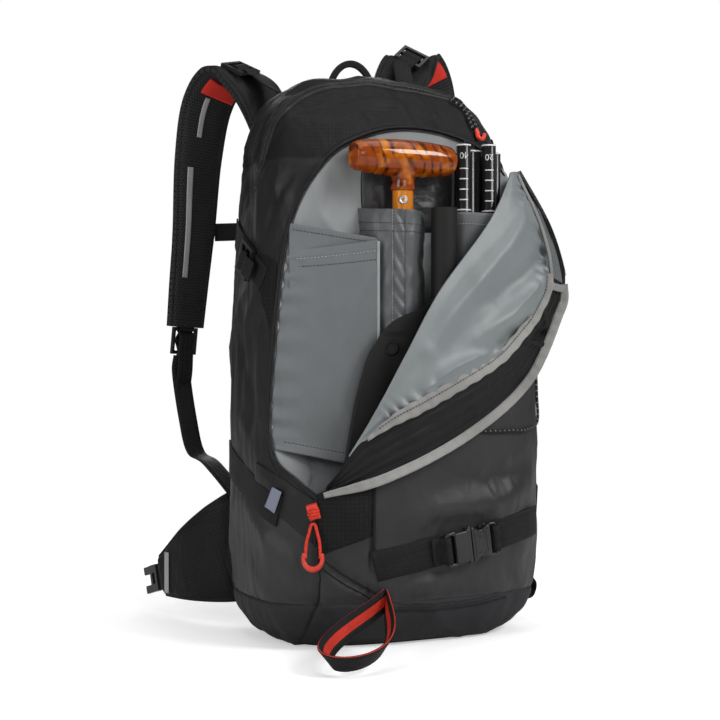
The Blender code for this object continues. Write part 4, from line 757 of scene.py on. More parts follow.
def band_piece(name, line, face, width, thick, section=None, bands=None, loop=False, swell=0.0):
    """A flat band along a line: webbing, binding or a padded strap, by its section's shares across and up."""
    if section is None:
        top = [(-1.0, 0.35), (-0.96, 1.0), (-0.5, 1.0), (0.0, 1.0), (0.5, 1.0), (0.96, 1.0), (1.0, 0.35)]
        section = top + [(a, -b) for a, b in top[::-1]]
    line, section = np.asarray(line, float), np.asarray(section, float)
    count = len(line)
    along = np.roll(line, -1, 0) - np.roll(line, 1, 0) if loop else np.gradient(line, axis=0)
    side = unit(np.cross(along, np.broadcast_to(face, line.shape)))
    out = unit(np.cross(side, along))
    half = 0.5 * np.broadcast_to(width, count)[:, None, None]
    high = 0.5 * np.broadcast_to(thick, count)[:, None, None]
    a, b = section[:, 0, None], section[:, 1, None]
    rings = line[:, None] + side[:, None] * half * a + out[:, None] * (high * b)
    if swell:
        puffs = np.sign(b) * swell * wave(rings, 0.03, 2.0)[..., None] * (np.abs(a) < 0.8)
        rings = rings + out[:, None] * puffs
    ends = line if not loop else np.vstack([line, line[:1]])
    far = way_along(ends)
    around = np.append(section[:, 0], section[0, 0])
    widths = np.append(half[:, 0, 0], half[0, 0, 0]) if loop else half[:, 0, 0]
    flat = np.stack([widths[:, None] * around, np.repeat(far[:, None], len(around), 1)], axis=-1)
    return tube_piece(name, rings, flat, loop, bands)


def round_piece(name, line, radius, sides=8, loop=False):
    """A cord or moulded bead along a line."""
    line = np.asarray(line, float)
    count = len(line)
    along = unit(np.roll(line, -1, 0) - np.roll(line, 1, 0) if loop else np.gradient(line, axis=0))
    side = np.zeros_like(line)
    side[0] = unit(np.cross(along[0], (0.31, 0.52, 0.79)))
    for k in range(1, count):
        side[k] = unit(side[k - 1] - along[k] * (side[k - 1] @ along[k]))
    out = np.cross(along, side)
    angle = np.linspace(0.0, 2 * math.pi, sides, endpoint=False)[:, None]
    size = np.broadcast_to(radius, count)[:, None, None]
    rings = line[:, None] + size * (side[:, None] * np.cos(angle) + out[:, None] * np.sin(angle))
    ends = np.vstack([line, line[:1]]) if loop else line
    far = way_along(ends)
    around = np.linspace(0.0, 2 * math.pi * float(np.mean(radius)), sides + 1)
    flat = np.stack([np.repeat(around[None], len(far), 0), np.repeat(far[:, None], sides + 1, 1)], axis=-1)
    return tube_piece(name, rings, flat, loop)


spacer_mesh = spacer_paint("spacer_mesh", (0.027, 0.027, 0.028))
for name, (low, high), half, channel in (
    ("back_pad", (0.175, 0.425), 0.105, 0.022), ("lumbar_pad", (0.060, 0.165), 0.095, 0.018)
):
    rows, wide = 90, 100
    up, over = np.linspace(-1.0, 1.0, rows)[:, None], np.linspace(-1.0, 1.0, wide)[None]
    corner = np.clip((np.abs(up) ** 6 + np.abs(over) ** 6), 0.0, 1.0)
    x = half * over * (1.0 - 0.06 * np.abs(up) ** 4)
    z = 0.5 * (low + high) + 0.5 * (high - low) * up * (1.0 - 0.03 * np.abs(over) ** 4)
    plump = 0.0155 * (1.0 - corner) ** 0.45
    plump = plump * (1.0 - 0.75 * bell(np.abs(x), channel * 0.8)) + 0.0012
    ribs = np.sin(math.pi * np.clip((z - low) / (high - low), 0, 1) * (5 if name == "back_pad" else 2))
    plump = plump * (1.0 - 0.30 * bell(ribs, 0.16) * (np.abs(x) > channel * 0.9))
    y = skin_y(np.clip(x, -0.14, 0.14), z, 1) + 0.0008 + plump
    grid = np.stack([np.broadcast_to(v, y.shape) for v in (-x, y, z)], axis=-1)
    pad_flat = np.stack([grid[..., 0], grid[..., 2]], axis=-1)
    pad = thicken(woven(name + "_cloth", grid, pad_flat), 0.0012)
    wear(pad, spacer_mesh, "pack", name, slot="spacer_mesh")


# The sleeves inside the compartment: light grey pockets sewn to its wall, a wide flat one for the shovel's
# blade, a narrow one for its shaft and one for the probe. Each top is hemmed and stitched.
def at_view(pixels, depth):
    """Points seen at these places of the square picture, at a depth along INWARD from the bag's middle."""
    pixels = np.asarray(pixels, float)
    scale = 36.0 / 73.3 / 720.0
    right, down = (pixels[..., :1] - 360.0) * scale, (pixels[..., 1:2] - 360.0) * scale
    far = 1.5 + np.broadcast_to(depth, pixels.shape[:-1])[..., None]
    return np.array((-0.680, -1.337, 0.275)) + far * (INWARD + right * ACROSS - down * UP)


def length_of(line):
    return float(np.linalg.norm(np.diff(line, axis=0), axis=1).sum())


def stitches(name, line, out, pitch=0.0034, size=0.0005, length=0.0022):
    """A row of short stitches along a line, each a small rounded bead standing a little off the cloth."""
    line = np.asarray(line, float)
    total = length_of(line)
    count = max(2, int(total / pitch))
    spots = evenly(line, 2 * count + 1)
    out = np.broadcast_to(out, line.shape)
    outs = unit(evenly(np.hstack([line, out]), 2 * count + 1)[:, 3:])
    points, faces = [], []
    for k in range(count):
        middle, along = spots[2 * k + 1], unit(spots[2 * k + 2] - spots[2 * k])
        face = unit(outs[2 * k + 1])
        side = unit(np.cross(along, face))
        first = len(points)
        for t, r in ((-0.5, 0.35), (-0.3, 1.0), (0.3, 1.0), (0.5, 0.35)):
            for a, b in ((1.0, 0.0), (0.0, 1.0), (-1.0, 0.0), (0.0, -1.0)):
                points.append(middle + along * t * length + (side * a + face * b) * size * r)
        for j in range(3):
            for i in range(4):
                n = (i + 1) % 4
                here = first + 4 * j
                faces.append([here + n, here + i, here + 4 + i, here + 4 + n])
        faces += [[first, first + 1, first + 2, first + 3], [first + 15, first + 14, first + 13, first + 12]]
    return mesh_piece(name, points, faces, np.zeros((sum(map(len, faces)), 2)))


def sheet_of(obj, grid, held, *rests):
    """Works out how wide and how long a cloth cut is, and its area, from the grid of points that it was made
    from.
    """
    across = float(np.linalg.norm(np.diff(grid, axis=1), axis=-1).sum(axis=1).max())
    along = float(np.linalg.norm(np.diff(grid, axis=0), axis=-1).sum(axis=0).max())
    one, two = np.diff(grid, axis=0), np.diff(grid, axis=1)
    halves = np.cross(one[:, :-1], two[:-1]), np.cross(one[:, 1:], two[1:])
    area = 0.5 * sum(float(np.linalg.norm(half, axis=-1).sum()) for half in halves)


def thread_paint(name, colour):
    paint, start = new_paint(name)
    place = start.node("TexCoord", out=3)
    twist = start.node("TexNoise", {"Vector": place, "Scale": 900.0, "Detail": 2.0}).spread(0.3, 0.7)
    shade = twist.blend(tint(colour, 0.75), tint(colour, 1.2))
    finish_paint(start, shade, twist * 0.1 + 0.6, None, Specular_IOR_Level=0.15)
    return paint


pocket_grey = cloth_paint(
    "pocket_grey", (0.132, 0.140, 0.145), weave=0.0010, cloud=0.07, crush=0.3, crease=1.4,
)
sleeve_grey = cloth_paint(
    "sleeve_grey", (0.086, 0.092, 0.096), weave=0.0010, rough=0.36, shine=0.4, cloud=0.08, crease=1.2,
)
grey_thread = thread_paint("grey_thread", (0.34, 0.35, 0.35))
dark_thread = thread_paint("dark_thread", (0.07, 0.07, 0.075))

rows_z = np.linspace(0.193, 0.380, 130)
rim_across = np.interp(rows_z, [z for _, z in ZIP_LINE[2:9]], [u for u, _ in ZIP_LINE[2:9]]) + 0.0040
rim_deep = (on_opening(np.column_stack([rim_across, rows_z])) @ INWARD + 0.0050)[:, None]
over, up = np.meshgrid(np.linspace(0.0, 1.0, 90), np.linspace(0.0, 1.0, 130))
left_x = 360.0 + 1466.0 * (rim_across[:, None] + 0.0246) / (1.5 + rim_deep)
low_y, top_y = 449.0 + 21.0 * over, 250.0 - 10.5 * over**1.4
pixels = np.stack([left_x + (378.5 - left_x) * over, low_y + (top_y - low_y) * up], axis=-1)
bulge = np.sin(math.pi * over) ** 0.6 * np.sin(math.pi * np.clip(0.15 + 0.7 * up, 0, 1))
depth = rim_deep * (1.0 - over) - 0.0880 * over - 0.0030 * bulge
hem = (up > 0.955) * 0.0007 + (up < 0.04) * 0.0007
gathers = 0.0014 * np.sin(2 * math.pi * up * 9.0 + 2.0 * np.sin(7.0 * up)) * np.clip(1.0 - over * 3.2, 0, 1)
grid = at_view(pixels, depth - hem + gathers)
ridges = 1.0 - np.abs(wave(grid * (1.0, 1.0, 0.5), 0.07, 2.2, 1))
soft = 0.0016 * wave(grid, 0.05, 8.0) + 0.0014 * ridges**6
grid = grid - INWARD * (soft * np.clip(over * 6.0, 0, 1))[..., None]
flat = np.stack([over * 0.115, up * 0.22], axis=-1)
sleeve = thicken(woven("blade_sleeve_cloth", grid, flat), 0.0009)
wear(sleeve, pocket_grey, "pack", "blade_sleeve", slot="lining_grey")
sheet_of(sleeve, grid, "hung", "compartment_lining")
for k, (row, thread) in enumerate(((123, grey_thread), (118, dark_thread), (6, dark_thread))):
    seam = stitches(f"blade_sleeve_stitch_{k}", grid[row, 9:-2] - INWARD * 0.0002, -INWARD)
    wear(seam, thread, "pack", slot="lining_grey")
edge = band_piece("blade_sleeve_edge", grid[2:-1, -1] - INWARD * 0.0002, -INWARD, 0.0028, 0.0014)
wear(edge, lining_grey, "pack", slot="lining_grey")
foot = through(ZIP_LINE[:4], 14)
deep = (on_opening(foot) @ INWARD + 0.0065)[:, None]
over = np.linspace(0.0, 1.0, 44)[None]
depth = deep - (0.068 + deep) * over**0.8
grid = (foot[:, :1] + 0.075 * over)[..., None] * ACROSS + (foot[:, 1:] + 0.010 * over)[..., None] * UP
grid = grid + (depth + 0.0016 * wave(grid, 0.03, 44.0) * over)[..., None] * INWARD
foot_flat = np.stack(np.broadcast_arrays(over * 0.08, foot[:, 1:]), axis=-1)
foot_lining = woven("foot_lining", grid, foot_flat)
wear(thicken(foot_lining, 0.0008), pocket_grey, "pack", slot="lining_grey")
sheet_of(foot_lining, grid, "stretched", "compartment_lining")
over, up = np.meshgrid(np.linspace(0.0, 1.0, 60), np.linspace(0.0, 1.0, 40))
pixels = np.stack([289.0 + 88.0 * over, 300.0 - (77.0 - 15.0 * over) * up], axis=-1)
grid = at_view(pixels, -0.1040 * (1.0 - over) - 0.0835 * over)
grid = grid - INWARD * (0.0010 * wave(grid, 0.04, 18.0))[..., None]
back_layer = woven("blade_sleeve_back", grid, np.stack([over * 0.1, up * 0.07], axis=-1))
wear(thicken(back_layer, 0.0008), pocket_grey, "pack", slot="lining_grey")
sheet_of(back_layer, grid, "hung", "compartment_lining")
seam = stitches("blade_sleeve_back_stitch", grid[36, 2:-2] - INWARD * 0.0002, -INWARD)
wear(seam, dark_thread, "pack", slot="lining_grey")

# The shaft's sleeve, with two stitched channels down its front
plan = through(
    [(-0.0300, -0.046), (-0.0260, -0.060), (-0.0180, -0.072), (-0.0072, -0.0815), (0.0063, -0.0868),
     (0.0188, -0.0872), (0.0288, -0.0815), (0.0352, -0.064), (0.0385, -0.046)], 12
)
plan = evenly(plan, 96)
over, up = np.meshgrid(np.linspace(0.0, 1.0, 96), np.linspace(0.0, 1.0, 120))
channel = bell(plan[:, 0] - 0.0063, 0.0012) + bell(plan[:, 0] - 0.0188, 0.0012)
between = np.clip((plan[:, 0] - 0.0063) / 0.002, 0, 1) * np.clip((0.0188 - plan[:, 0]) / 0.002, 0, 1)
gathered = up * 13.0 + 0.3 * np.sin(11.0 * up) + 3.0 * plan[:, 0] / 0.03
shirr = 0.0013 * np.sin(2 * math.pi * gathered) * between
slack = np.stack([plan[None, :, 0] + 0 * up, plan[None, :, 1] + 0 * up, 0.24 * up], -1)
slack = 0.0024 * wave(slack, 0.022, 6.0)
push = shirr + slack * (1 - channel) - 0.0010 * channel
normal = unit(np.column_stack([np.gradient(plan[:, 1]), -np.gradient(plan[:, 0])]))
place = plan[None] + normal[None] * push[..., None]
top_z = 0.4255 - 0.0055 * over - 0.002 * np.sin(math.pi * over)
level = 0.190 + (top_z - 0.190) * up
grid = place[..., :1] * ACROSS + place[..., 1:] * INWARD + level[..., None] * UP
shaft_sleeve = woven("shaft_sleeve_cloth", grid, np.stack([over * 0.10, up * 0.236], axis=-1))
wear(thicken(shaft_sleeve, 0.0009), sleeve_grey, "pack", "handle_sleeve", slot="lining_grey")
sheet_of(shaft_sleeve, grid, "hung", "compartment_lining")
for k, at in enumerate((0.0063, 0.0188)):
    column = int(np.argmin(np.abs(plan[:, 0] - at)))
    seam = stitches(f"shaft_sleeve_stitch_{k}", grid[4:, column] - INWARD * 0.0003, -INWARD, 0.0030)
    wear(seam, grey_thread if k == 0 else dark_thread, "pack", slot="lining_grey")
for k, row in enumerate((112, 108)):
    ahead = np.column_stack([normal @ np.stack([ACROSS[:2], INWARD[:2]]), np.zeros(96)])
    seam = stitches(f"shaft_sleeve_hem_{k}", grid[row, 10:80] + ahead[10:80] * 0.0003, ahead[10:80])
    wear(seam, dark_thread, "pack", slot="lining_grey")

# The probe's sleeve
plan = through(
    [(0.0400, -0.036), (0.0425, -0.058), (0.0470, -0.0750), (0.0560, -0.0785), (0.0700, -0.0792),
     (0.0860, -0.0788), (0.0970, -0.0750), (0.1010, -0.058), (0.1030, -0.036)], 10
)
plan = evenly(plan, 80)
over, up = np.meshgrid(np.linspace(0.0, 1.0, 80), np.linspace(0.0, 1.0, 110))
shape = np.stack([plan[None, :, 0] + 0 * up, plan[None, :, 1] + 0 * up, 0.30 * up], -1)
normal = unit(np.column_stack([np.gradient(plan[:, 1]), -np.gradient(plan[:, 0])]))
grid = shape.copy()
grid[..., :2] += normal[None] * (0.0014 * wave(shape * (1, 1, 0.5), 0.03, 15.0))[..., None]
grid[..., 2] = 0.100 + (0.4235 - 0.002 * np.sin(math.pi * over) - 0.100) * up
probe_sleeve = woven("probe_sleeve_cloth", grid, np.stack([over * 0.13, up * 0.324], axis=-1))
wear(thicken(probe_sleeve, 0.0009), pocket_grey, "pack", "probe_sleeve", slot="lining_grey")
sheet_of(probe_sleeve, grid, "hung", "compartment_lining")
ahead = np.column_stack([normal, np.zeros(80)])
seam = stitches("probe_sleeve_hem", grid[105, 14:66] + ahead[14:66] * 0.0003, ahead[14:66])
wear(seam, grey_thread, "pack", slot="lining_grey")


# The carried tools: a shovel with an amber T-grip on an orange tube, its blade stowed apart, a folded probe
# of black tubes with white marks, and a dark pouch pressed against the wall behind the grip.
SHAFT_X, SHAFT_Y = -0.015, -0.069


def turned(name, profile, place, axis, steps=40):
    """A body spun from its profile of distances along and out from an axis."""
    axis = Vector(axis).normalized()
    out = axis.orthogonal().normalized()
    points = [Vector(place) + axis * a + out * r for a, r in profile]
    mesh = bpy.data.meshes.new(name)
    mesh.from_pydata(points, [(k, k + 1) for k in range(len(points) - 1)], [])
    made = bpy.data.objects.new(name, mesh)
    bpy.context.scene.collection.objects.link(made)
    select_only(made)
    bpy.ops.object.mode_set(mode="EDIT")
    bpy.ops.mesh.select_all(action="SELECT")
    bpy.ops.mesh.spin(steps=steps, angle=2 * math.pi, center=place, axis=axis)
    bpy.ops.mesh.select_all(action="SELECT")
    bpy.ops.mesh.remove_doubles(threshold=0.00002)
    bpy.ops.mesh.normals_make_consistent(inside=False)
    bpy.ops.object.mode_set(mode="OBJECT")
    bpy.ops.object.shade_smooth_by_angle(angle=math.radians(40.0))
    return made


def joined(name, *parts):
    bpy.ops.object.select_all(action="DESELECT")
    for part in parts:
        part.select_set(True)
    bpy.context.view_layer.objects.active = parts[0]
    bpy.ops.object.join()
    parts[0].name = name
    return parts[0]


def melted(obj, size, rounds):
    """Merges a piece's bodies into one skin with soft joins."""
    remesh = obj.modifiers.new("skin", "REMESH")
    remesh.mode, remesh.voxel_size = "VOXEL", size
    smooth = obj.modifiers.new("soft", "SMOOTH")
    smooth.factor, smooth.iterations = 0.5, rounds
    apply_modifiers(obj)
    obj.data.shade_smooth()
    return obj


def amber_paint(name):
    """Cast amber plastic with dark brown streaks in it, under a polished skin."""
    paint, start = new_paint(name)
    place = start.node("TexCoord", out=3)
    bent = start.node("TexNoise", {"Vector": place, "Scale": 30.0, "Detail": 3.0})
    broken = start.node("TexNoise", {"Vector": place, "Scale": 75.0, "Detail": 2.0}).spread(0.36, 0.58)
    lean = place.part(0) + place.part(2) * 0.35
    streak = ((lean * 520.0) + bent * 15.0).sin()
    fine = start.node("TexNoise", {"Vector": place, "Scale": 150.0, "Detail": 4.0}).spread(0.35, 0.65)
    dark = streak.spread(0.15, 1.0) * (fine * 0.35 + 0.65) * (broken * 0.75 + 0.25)
    light = start.node("TexNoise", {"Vector": place, "Scale": 60.0, "Detail": 2.0}).spread(0.45, 0.75)
    shade = light.blend((0.240, 0.040, 0.001, 1), (0.560, 0.165, 0.003, 1))
    shade = dark.blend(shade, (0.032, 0.005, 0.001, 1))
    finish_paint(
        start, shade, fine * 0.06 + 0.10, None, Coat_Weight=0.40, Coat_Roughness=0.03, Specular_IOR_Level=0.2,
    )
    return paint


def metal_paint(name, colour, rough, metal, grain=260.0):
    """Brushed or anodised metal."""
    paint, start = new_paint(name)
    place = start.node("TexCoord", out=3)
    brushed = start.node("Mapping", {"Vector": place, "Scale": (1.0, 1.0, 0.06)})
    lines = start.node("TexNoise", {"Vector": brushed, "Scale": grain, "Detail": 3.0}).spread(0.3, 0.7)
    cloudy = start.node("TexNoise", {"Vector": place, "Scale": 25.0, "Detail": 3.0}).spread(0.3, 0.7)
    shade = (lines * 0.5 + cloudy * 0.5).blend(tint(colour, 0.86), tint(colour, 1.12))
    normal = start.node("Bump", {"Strength": 0.08, "Distance": 0.0003, "Height": lines})
    finish_paint(start, shade, lines * 0.1 + rough, normal, Metallic=metal, Specular_IOR_Level=0.25)
    return paint


amber_plastic = amber_paint("amber_plastic")
orange_alloy = metal_paint("orange_alloy", (0.620, 0.200, 0.012), 0.30, 0.15)
steel = metal_paint("steel", (0.62, 0.63, 0.66), 0.22, 1.0)
blade_grey = metal_paint("blade_grey", (0.0095, 0.0088, 0.0085), 0.55, 0.0, 120.0)
# Near black, used as painted shade in holes: the button's hollow, the socket's small holes and the middle of
# the blade's hole.
hole_black = metal_paint("hole_black", (0.006, 0.006, 0.006), 0.5, 0.0)

grip_z, half = 0.4718, 0.058
t = np.linspace(-1.0, 1.0, 33)
radius = 0.0134 + 0.0048 * (1.0 - np.abs(t) ** 2.2)
radius = radius * np.clip((1.0 - np.abs(t) ** 26), 0.0, 1.0) ** 0.5
profile = [(-half, 0.0)] + [(half * a, r) for a, r in zip(t, radius)][1:-1] + [(half, 0.0)]
bar = turned("grip_bar", profile, (SHAFT_X, SHAFT_Y, grip_z), (1, 0, 0), 44)
neck = [
    (0.0, 0.0), (0.0, 0.0115), (0.0035, 0.0122), (0.010, 0.0112), (0.016, 0.0126),
    (0.026, 0.016), (0.030, 0.0),
]
neck = turned("grip_neck", neck, (SHAFT_X, SHAFT_Y, 0.4395), (0, 0, 1), 36)
grip = melted(joined("grip_amber", bar, neck), 0.0011, 7)
wear(grip, amber_plastic, "shovel", "shovel_grip", slot="amber_plastic")
wall = [(0, 0), (0, 0.0102), (0.2500, 0.0102), (0.2500, 0)]
tube = turned("shaft_tube", wall, (SHAFT_X, SHAFT_Y, 0.191), (0, 0, 1))
wear(tube, orange_alloy, "shovel", "shovel_shaft", slot="orange_alloy")
ring = [
    (0.0012, 0.0), (0.0004, 0.0016), (-0.0008, 0.0018), (-0.0012, 0.0026), (-0.0010, 0.0042),
    (0.0002, 0.0048), (0.004, 0.0048), (0.004, 0.0),
]
spot = np.array((SHAFT_X, SHAFT_Y, 0.4305)) - INWARD * 0.0100
button = turned("spring_button", ring, spot, INWARD, 28)
wear(button, steel, "button", "shaft_button", slot="steel")
# A black disk in the button's hollow: painted shade in place of the hole.
wall = [(0.0, 0.0), (0.0, 0.0017), (0.0015, 0.0017), (0.0015, 0.0)]
dot = turned("button_hole", wall, spot + INWARD * 0.0002, INWARD, 16)
wear(dot, hole_black, "button", slot="steel")

# Blade: a crowned plate with a sloped shoulder, and the socket tube that takes the shaft
BLADE_EDGE = (
    (-0.0857, 0.1542), (-0.0821, 0.1780), (-0.0780, 0.2055), (-0.0721, 0.2379), (-0.0620, 0.2750),
    (-0.0525, 0.2931), (-0.0410, 0.3085), (-0.0253, 0.3182), (-0.0038, 0.3261), (0.0080, 0.3369),
)
left = through(BLADE_EDGE, 6)
rows, wide = 80, 72
edge = evenly(left, rows)
t = np.linspace(0.0, 1.0, wide)[None]
mirror = 0.040 - edge[:, :1]
x = edge[:, :1] + (mirror - edge[:, :1]) * t
s = (x - 0.020) / 0.100
y = -0.0955 + 0.0172 * s**2
rib = bell((x - 0.020) / 0.016, 1.0) * np.clip((edge[:, 1:] - 0.235) / 0.09, 0, 1)
y = y + 0.0065 * rib + 0.0012 * bell((np.abs(s) - 0.55) / 0.10, 1.0) * (edge[:, 1:] < 0.30)
grid = np.stack([x, y, np.broadcast_to(edge[:, 1:], x.shape)], axis=-1)
blade = thicken(woven("blade_plate", grid, grid[..., ::2]), 0.0019, 0.0)
wear(blade, blade_grey, "pack", "shovel_blade", slot="blade_grey")
socket_y = -0.0890
tube = [
    (0.0, 0.002), (0.02, 0.008), (0.055, 0.0128), (0.155, 0.0128), (0.155, 0.0112),
    (0.07, 0.0112), (0.07, 0.0),
]
socket = turned("blade_socket", tube, (0.020, socket_y, 0.268), (0, 0, 1), 36)
wear(socket, blade_grey, "pack", slot="blade_grey")
# Dark dimples down the socket: painted shade standing in for its small holes.
for k in range(9):
    spot = np.array((0.0258, socket_y, 0.300 + 0.013 * k)) - INWARD * 0.0114
    wall = [(0.0, 0.0), (-0.0003, 0.0009), (0.001, 0.0011), (0.001, 0)]
    dimple = turned(f"socket_dimple_{k}", wall, spot, INWARD, 10)
    wear(dimple, hole_black, "pack", slot="blade_grey")
# The blade's hole: a raised black rim, and inside it a black disk that is painted shade in place of the hole.
spot = np.array((-0.0381, -0.0955 + 0.0172 * 0.581**2, 0.2865)) - INWARD * 0.0012
rim = [
    (0.0, 0.0), (0.0, 0.0042), (-0.0012, 0.0050), (-0.0012, 0.0062), (0.0010, 0.0074),
    (0.003, 0.0074), (0.003, 0),
]
wear(turned("blade_hole_rim", rim, spot, INWARD, 30), hole_black, "pack", slot="blade_grey")

# Probe: black tubes folded side by side, white marks and ferrules, and the thin cord that joins them
def probe_paint(name, colour, rough):
    paint, start = new_paint(name)
    place = start.node("TexCoord", out=3)
    fine = start.node("TexNoise", {"Vector": place, "Scale": 200.0, "Detail": 3.0}).spread(0.3, 0.7)
    shade = fine.blend(tint(colour, 0.85), tint(colour, 1.1))
    finish_paint(start, shade, fine * 0.06 + rough, None, Specular_IOR_Level=0.4)
    return paint


probe_black = probe_paint("probe_black", (0.0085, 0.0085, 0.0090), 0.20)
mark_white = probe_paint("mark_white", (0.72, 0.72, 0.70), 0.45)
TUBES = (
    (0.0545, -0.0668, 0.0072, 0.4900, "40"), (0.0668, -0.0590, 0.0060, 0.4860, None),
    (0.0838, -0.0668, 0.0072, 0.4915, "20"), (0.0950, -0.0600, 0.0058, 0.4850, None),
    (0.0560, -0.0543, 0.0043, 0.4840, None), (0.0768, -0.0553, 0.0046, 0.4870, None),
    (0.0868, -0.0541, 0.0040, 0.4830, None),
)
facing = math.radians(-26.0)


def on_tube(x, y, radius, around, z):
    """A point on a tube's wall, by its angle from the way that faces the camera."""
    spin = facing + around
    return np.stack([x + radius * np.sin(spin), y - radius * np.cos(spin), z + 0.0 * spin], axis=-1)


for k, (x, y, radius, top, number) in enumerate(TUBES):
    wall = [
        (0.0, 0.0), (0.0, radius), (top - 0.1025, radius), (top - 0.1020, radius - 0.0004),
        (top - 0.1020, radius - 0.0012), (top - 0.1060, radius - 0.0014), (top - 0.1060, 0.0),
    ]
    tube = turned(f"probe_tube_{k}", wall, (x, y, 0.102), (0, 0, 1), 26)
    wear(tube, probe_black, "probe", *(["probe"] if k == 0 else []), slot="probe_black")
    for n, (low, high) in enumerate(((top - 0.0016, top - 0.0002), (0.4238, 0.4252))):
        if number is None and n:
            continue
        sunk, proud = radius - 0.0006, radius + 0.0003
        band = [(low, sunk), (low, proud), (high, proud), (high, sunk)]
        ferrule = turned(f"probe_ferrule_{k}_{n}", band, (x, y, 0.0), (0, 0, 1), 26)
        wear(ferrule, mark_white, "probe", slot="probe_black")
    if number is None:
        continue
    for n, level in enumerate((0.4654, 0.4552, 0.4448, 0.4345)):
        span = np.linspace(-0.62, 0.62, 10)
        grid = np.stack([on_tube(x, y, radius + 0.00015, span, level + h) for h in (-0.00055, 0.00055)])
        tick = woven(f"probe_tick_{k}_{n}", grid, np.zeros((2, 10, 2)))
        wear(tick, mark_white, "probe", slot="probe_black")
    bpy.ops.object.text_add()
    digits = bpy.context.object
    digits.data.body, digits.data.size, digits.data.align_x = number, 0.0088, "CENTER"
    select_only(digits)
    bpy.ops.object.convert(target="MESH")
    digits = bpy.context.object
    digits.name = digits.data.name = f"probe_number_{k}"
    flat = np.array([v.co[:] for v in digits.data.vertices])
    spots = on_tube(x, y, radius + 0.00015, -flat[:, 0] / radius, 0.4812 - flat[:, 1])
    digits.data.vertices.foreach_set("co", spots.ravel().astype(np.float32))
    digits.data.update()
    digits.matrix_world = Matrix.Identity(4)
    wear(digits, mark_white, "probe", slot="probe_black")
for k, (one, two) in enumerate(((0, 1), (2, 3), (1, 2))):
    a, b = TUBES[one], TUBES[two]
    rise = 0.0035 + 0.002 * (k == 1)
    route = [
        (a[0], a[1], a[3] - 0.004), (a[0] + 0.001, a[1], a[3] + 0.5 * rise),
        (0.5 * (a[0] + b[0]), 0.5 * (a[1] + b[1]), max(a[3], b[3]) + rise),
        (b[0] - 0.001, b[1], b[3] + 0.5 * rise), (b[0], b[1], b[3] - 0.004),
    ]
    line = through(route, 8)
    wear(round_piece(f"probe_cord_{k}", line, 0.0009, 6), probe_black, "probe", slot="probe_black")

# Pouch: thin coated cloth, stuffed flat and creased, tucked behind the grip
ring, spin = np.meshgrid(np.linspace(0.0, 1.0, 50), np.linspace(0.0, 2 * math.pi, 121)[:-1], indexing="ij")
corner = (np.abs(np.cos(spin)) ** 4 + np.abs(np.sin(spin)) ** 4) ** -0.25
x = 0.004 + 0.051 * ring * corner * np.cos(spin)
z = 0.447 + 0.045 * ring * corner * np.sin(spin)
puff = (1.0 - ring**3) ** 0.5
flat_spots = np.stack([x, 0 * x, z], axis=-1)
crumple = wave(flat_spots, 0.020, 50.0) * 0.0016 + wave(flat_spots * (1.0, 1.0, 2.2), 0.011, 71.0) * 0.0008
front_y = -0.0415 - 0.0068 * puff - np.abs(crumple) * puff
pouch = np.stack([x, np.maximum(front_y, -0.0505), z], axis=-1)
flat = np.stack([x, z], axis=-1)
pouch = woven("pouch_cloth", pouch, np.concatenate([flat, flat[:, :1]], axis=1), wrap=True)
pouch_grey = cloth_paint(
    "pouch_grey", (0.028, 0.028, 0.030), weave=0.0009, rough=0.30, shine=0.35, crush=0.5,
)
wear(thicken(pouch, 0.0006), pouch_grey, "pack", "stuff_sack", slot="pouch_grey")


# The flap: the front's lower right part, folded out and down. Its lining is grey, edged inside with a pale
# stitched binding, and a black gusset with a pale outer binding runs round it to its half of the zip.
FOLD = (
    (-0.0573, -0.1337, 0.1517), (-0.0153, -0.1350, 0.2191), (0.0176, -0.1250, 0.2797),
    (0.0516, -0.1030, 0.3417), (0.1035, -0.0550, 0.4130), (0.1309, -0.0100, 0.4701),
)
FREE_EDGE = (
    (-0.0638, -0.1337, 0.1470), (0.0035, -0.1255, 0.1644), (0.0812, -0.0900, 0.2009),
    (0.1453, -0.0350, 0.2500),
    (0.1787, -0.0100, 0.3157), (0.1852, -0.0050, 0.3464), (0.1698, 0.0000, 0.4080), (0.1339, 0.0030, 0.4746),
)
INNER_BINDING = (
    (0.0, 0.0), (0.13, 0.05), (0.165, 0.145), (0.28, 0.385), (0.34, 0.485), (0.425, 0.59), (0.51, 0.685),
    (0.585, 0.745), (0.645, 0.795), (0.77, 0.815), (0.82, 0.80), (0.895, 0.77), (0.96, 0.70), (1.0, 0.66),
)
FLAP_BULGE, FLAP_THICKNESS = 0.016, 0.0026
yaw = np.stack([ACROSS, INWARD, UP])
fold_line = evenly(through(FOLD, 20), 321) @ yaw
free_line = evenly(through(FREE_EDGE, 20), 321) @ yaw
binding_share = evenly(through(INNER_BINDING, 8), 400)


def on_flap(s, r):
    """A point of the flap: s runs up along its fold, and r from the fold out to its free edge."""
    s, r = np.broadcast_arrays(np.asarray(s, float), np.asarray(r, float))
    k = np.linspace(0.0, 1.0, 321)
    fold = np.stack([np.interp(s, k, fold_line[:, n]) for n in range(3)], axis=-1)
    free = np.stack([np.interp(s, k, free_line[:, n]) for n in range(3)], axis=-1)
    bulge = FLAP_BULGE * np.sin(math.pi * s) * np.sin(math.pi * r)
    return fold + (free - fold) * r[..., None] - INWARD * bulge[..., None]


def inner_edge(s):
    return np.interp(s, binding_share[:, 0], binding_share[:, 1])


flap_lining = cloth_paint(
    "flap_lining", (0.178, 0.196, 0.201), weave=0.0010, rough=0.38, shine=0.5, cloud=0.06, crease=0.25,
)
pale_binding = cloth_paint(
    "pale_binding", (0.265, 0.261, 0.250), weave=0.0014, rough=0.75, shine=0.1, crush=0.5,
)
gusset_black = cloth_paint("gusset_black", (0.0115, 0.0113, 0.0121), 0.0036, 0.3, rough=0.5, shine=0.18)

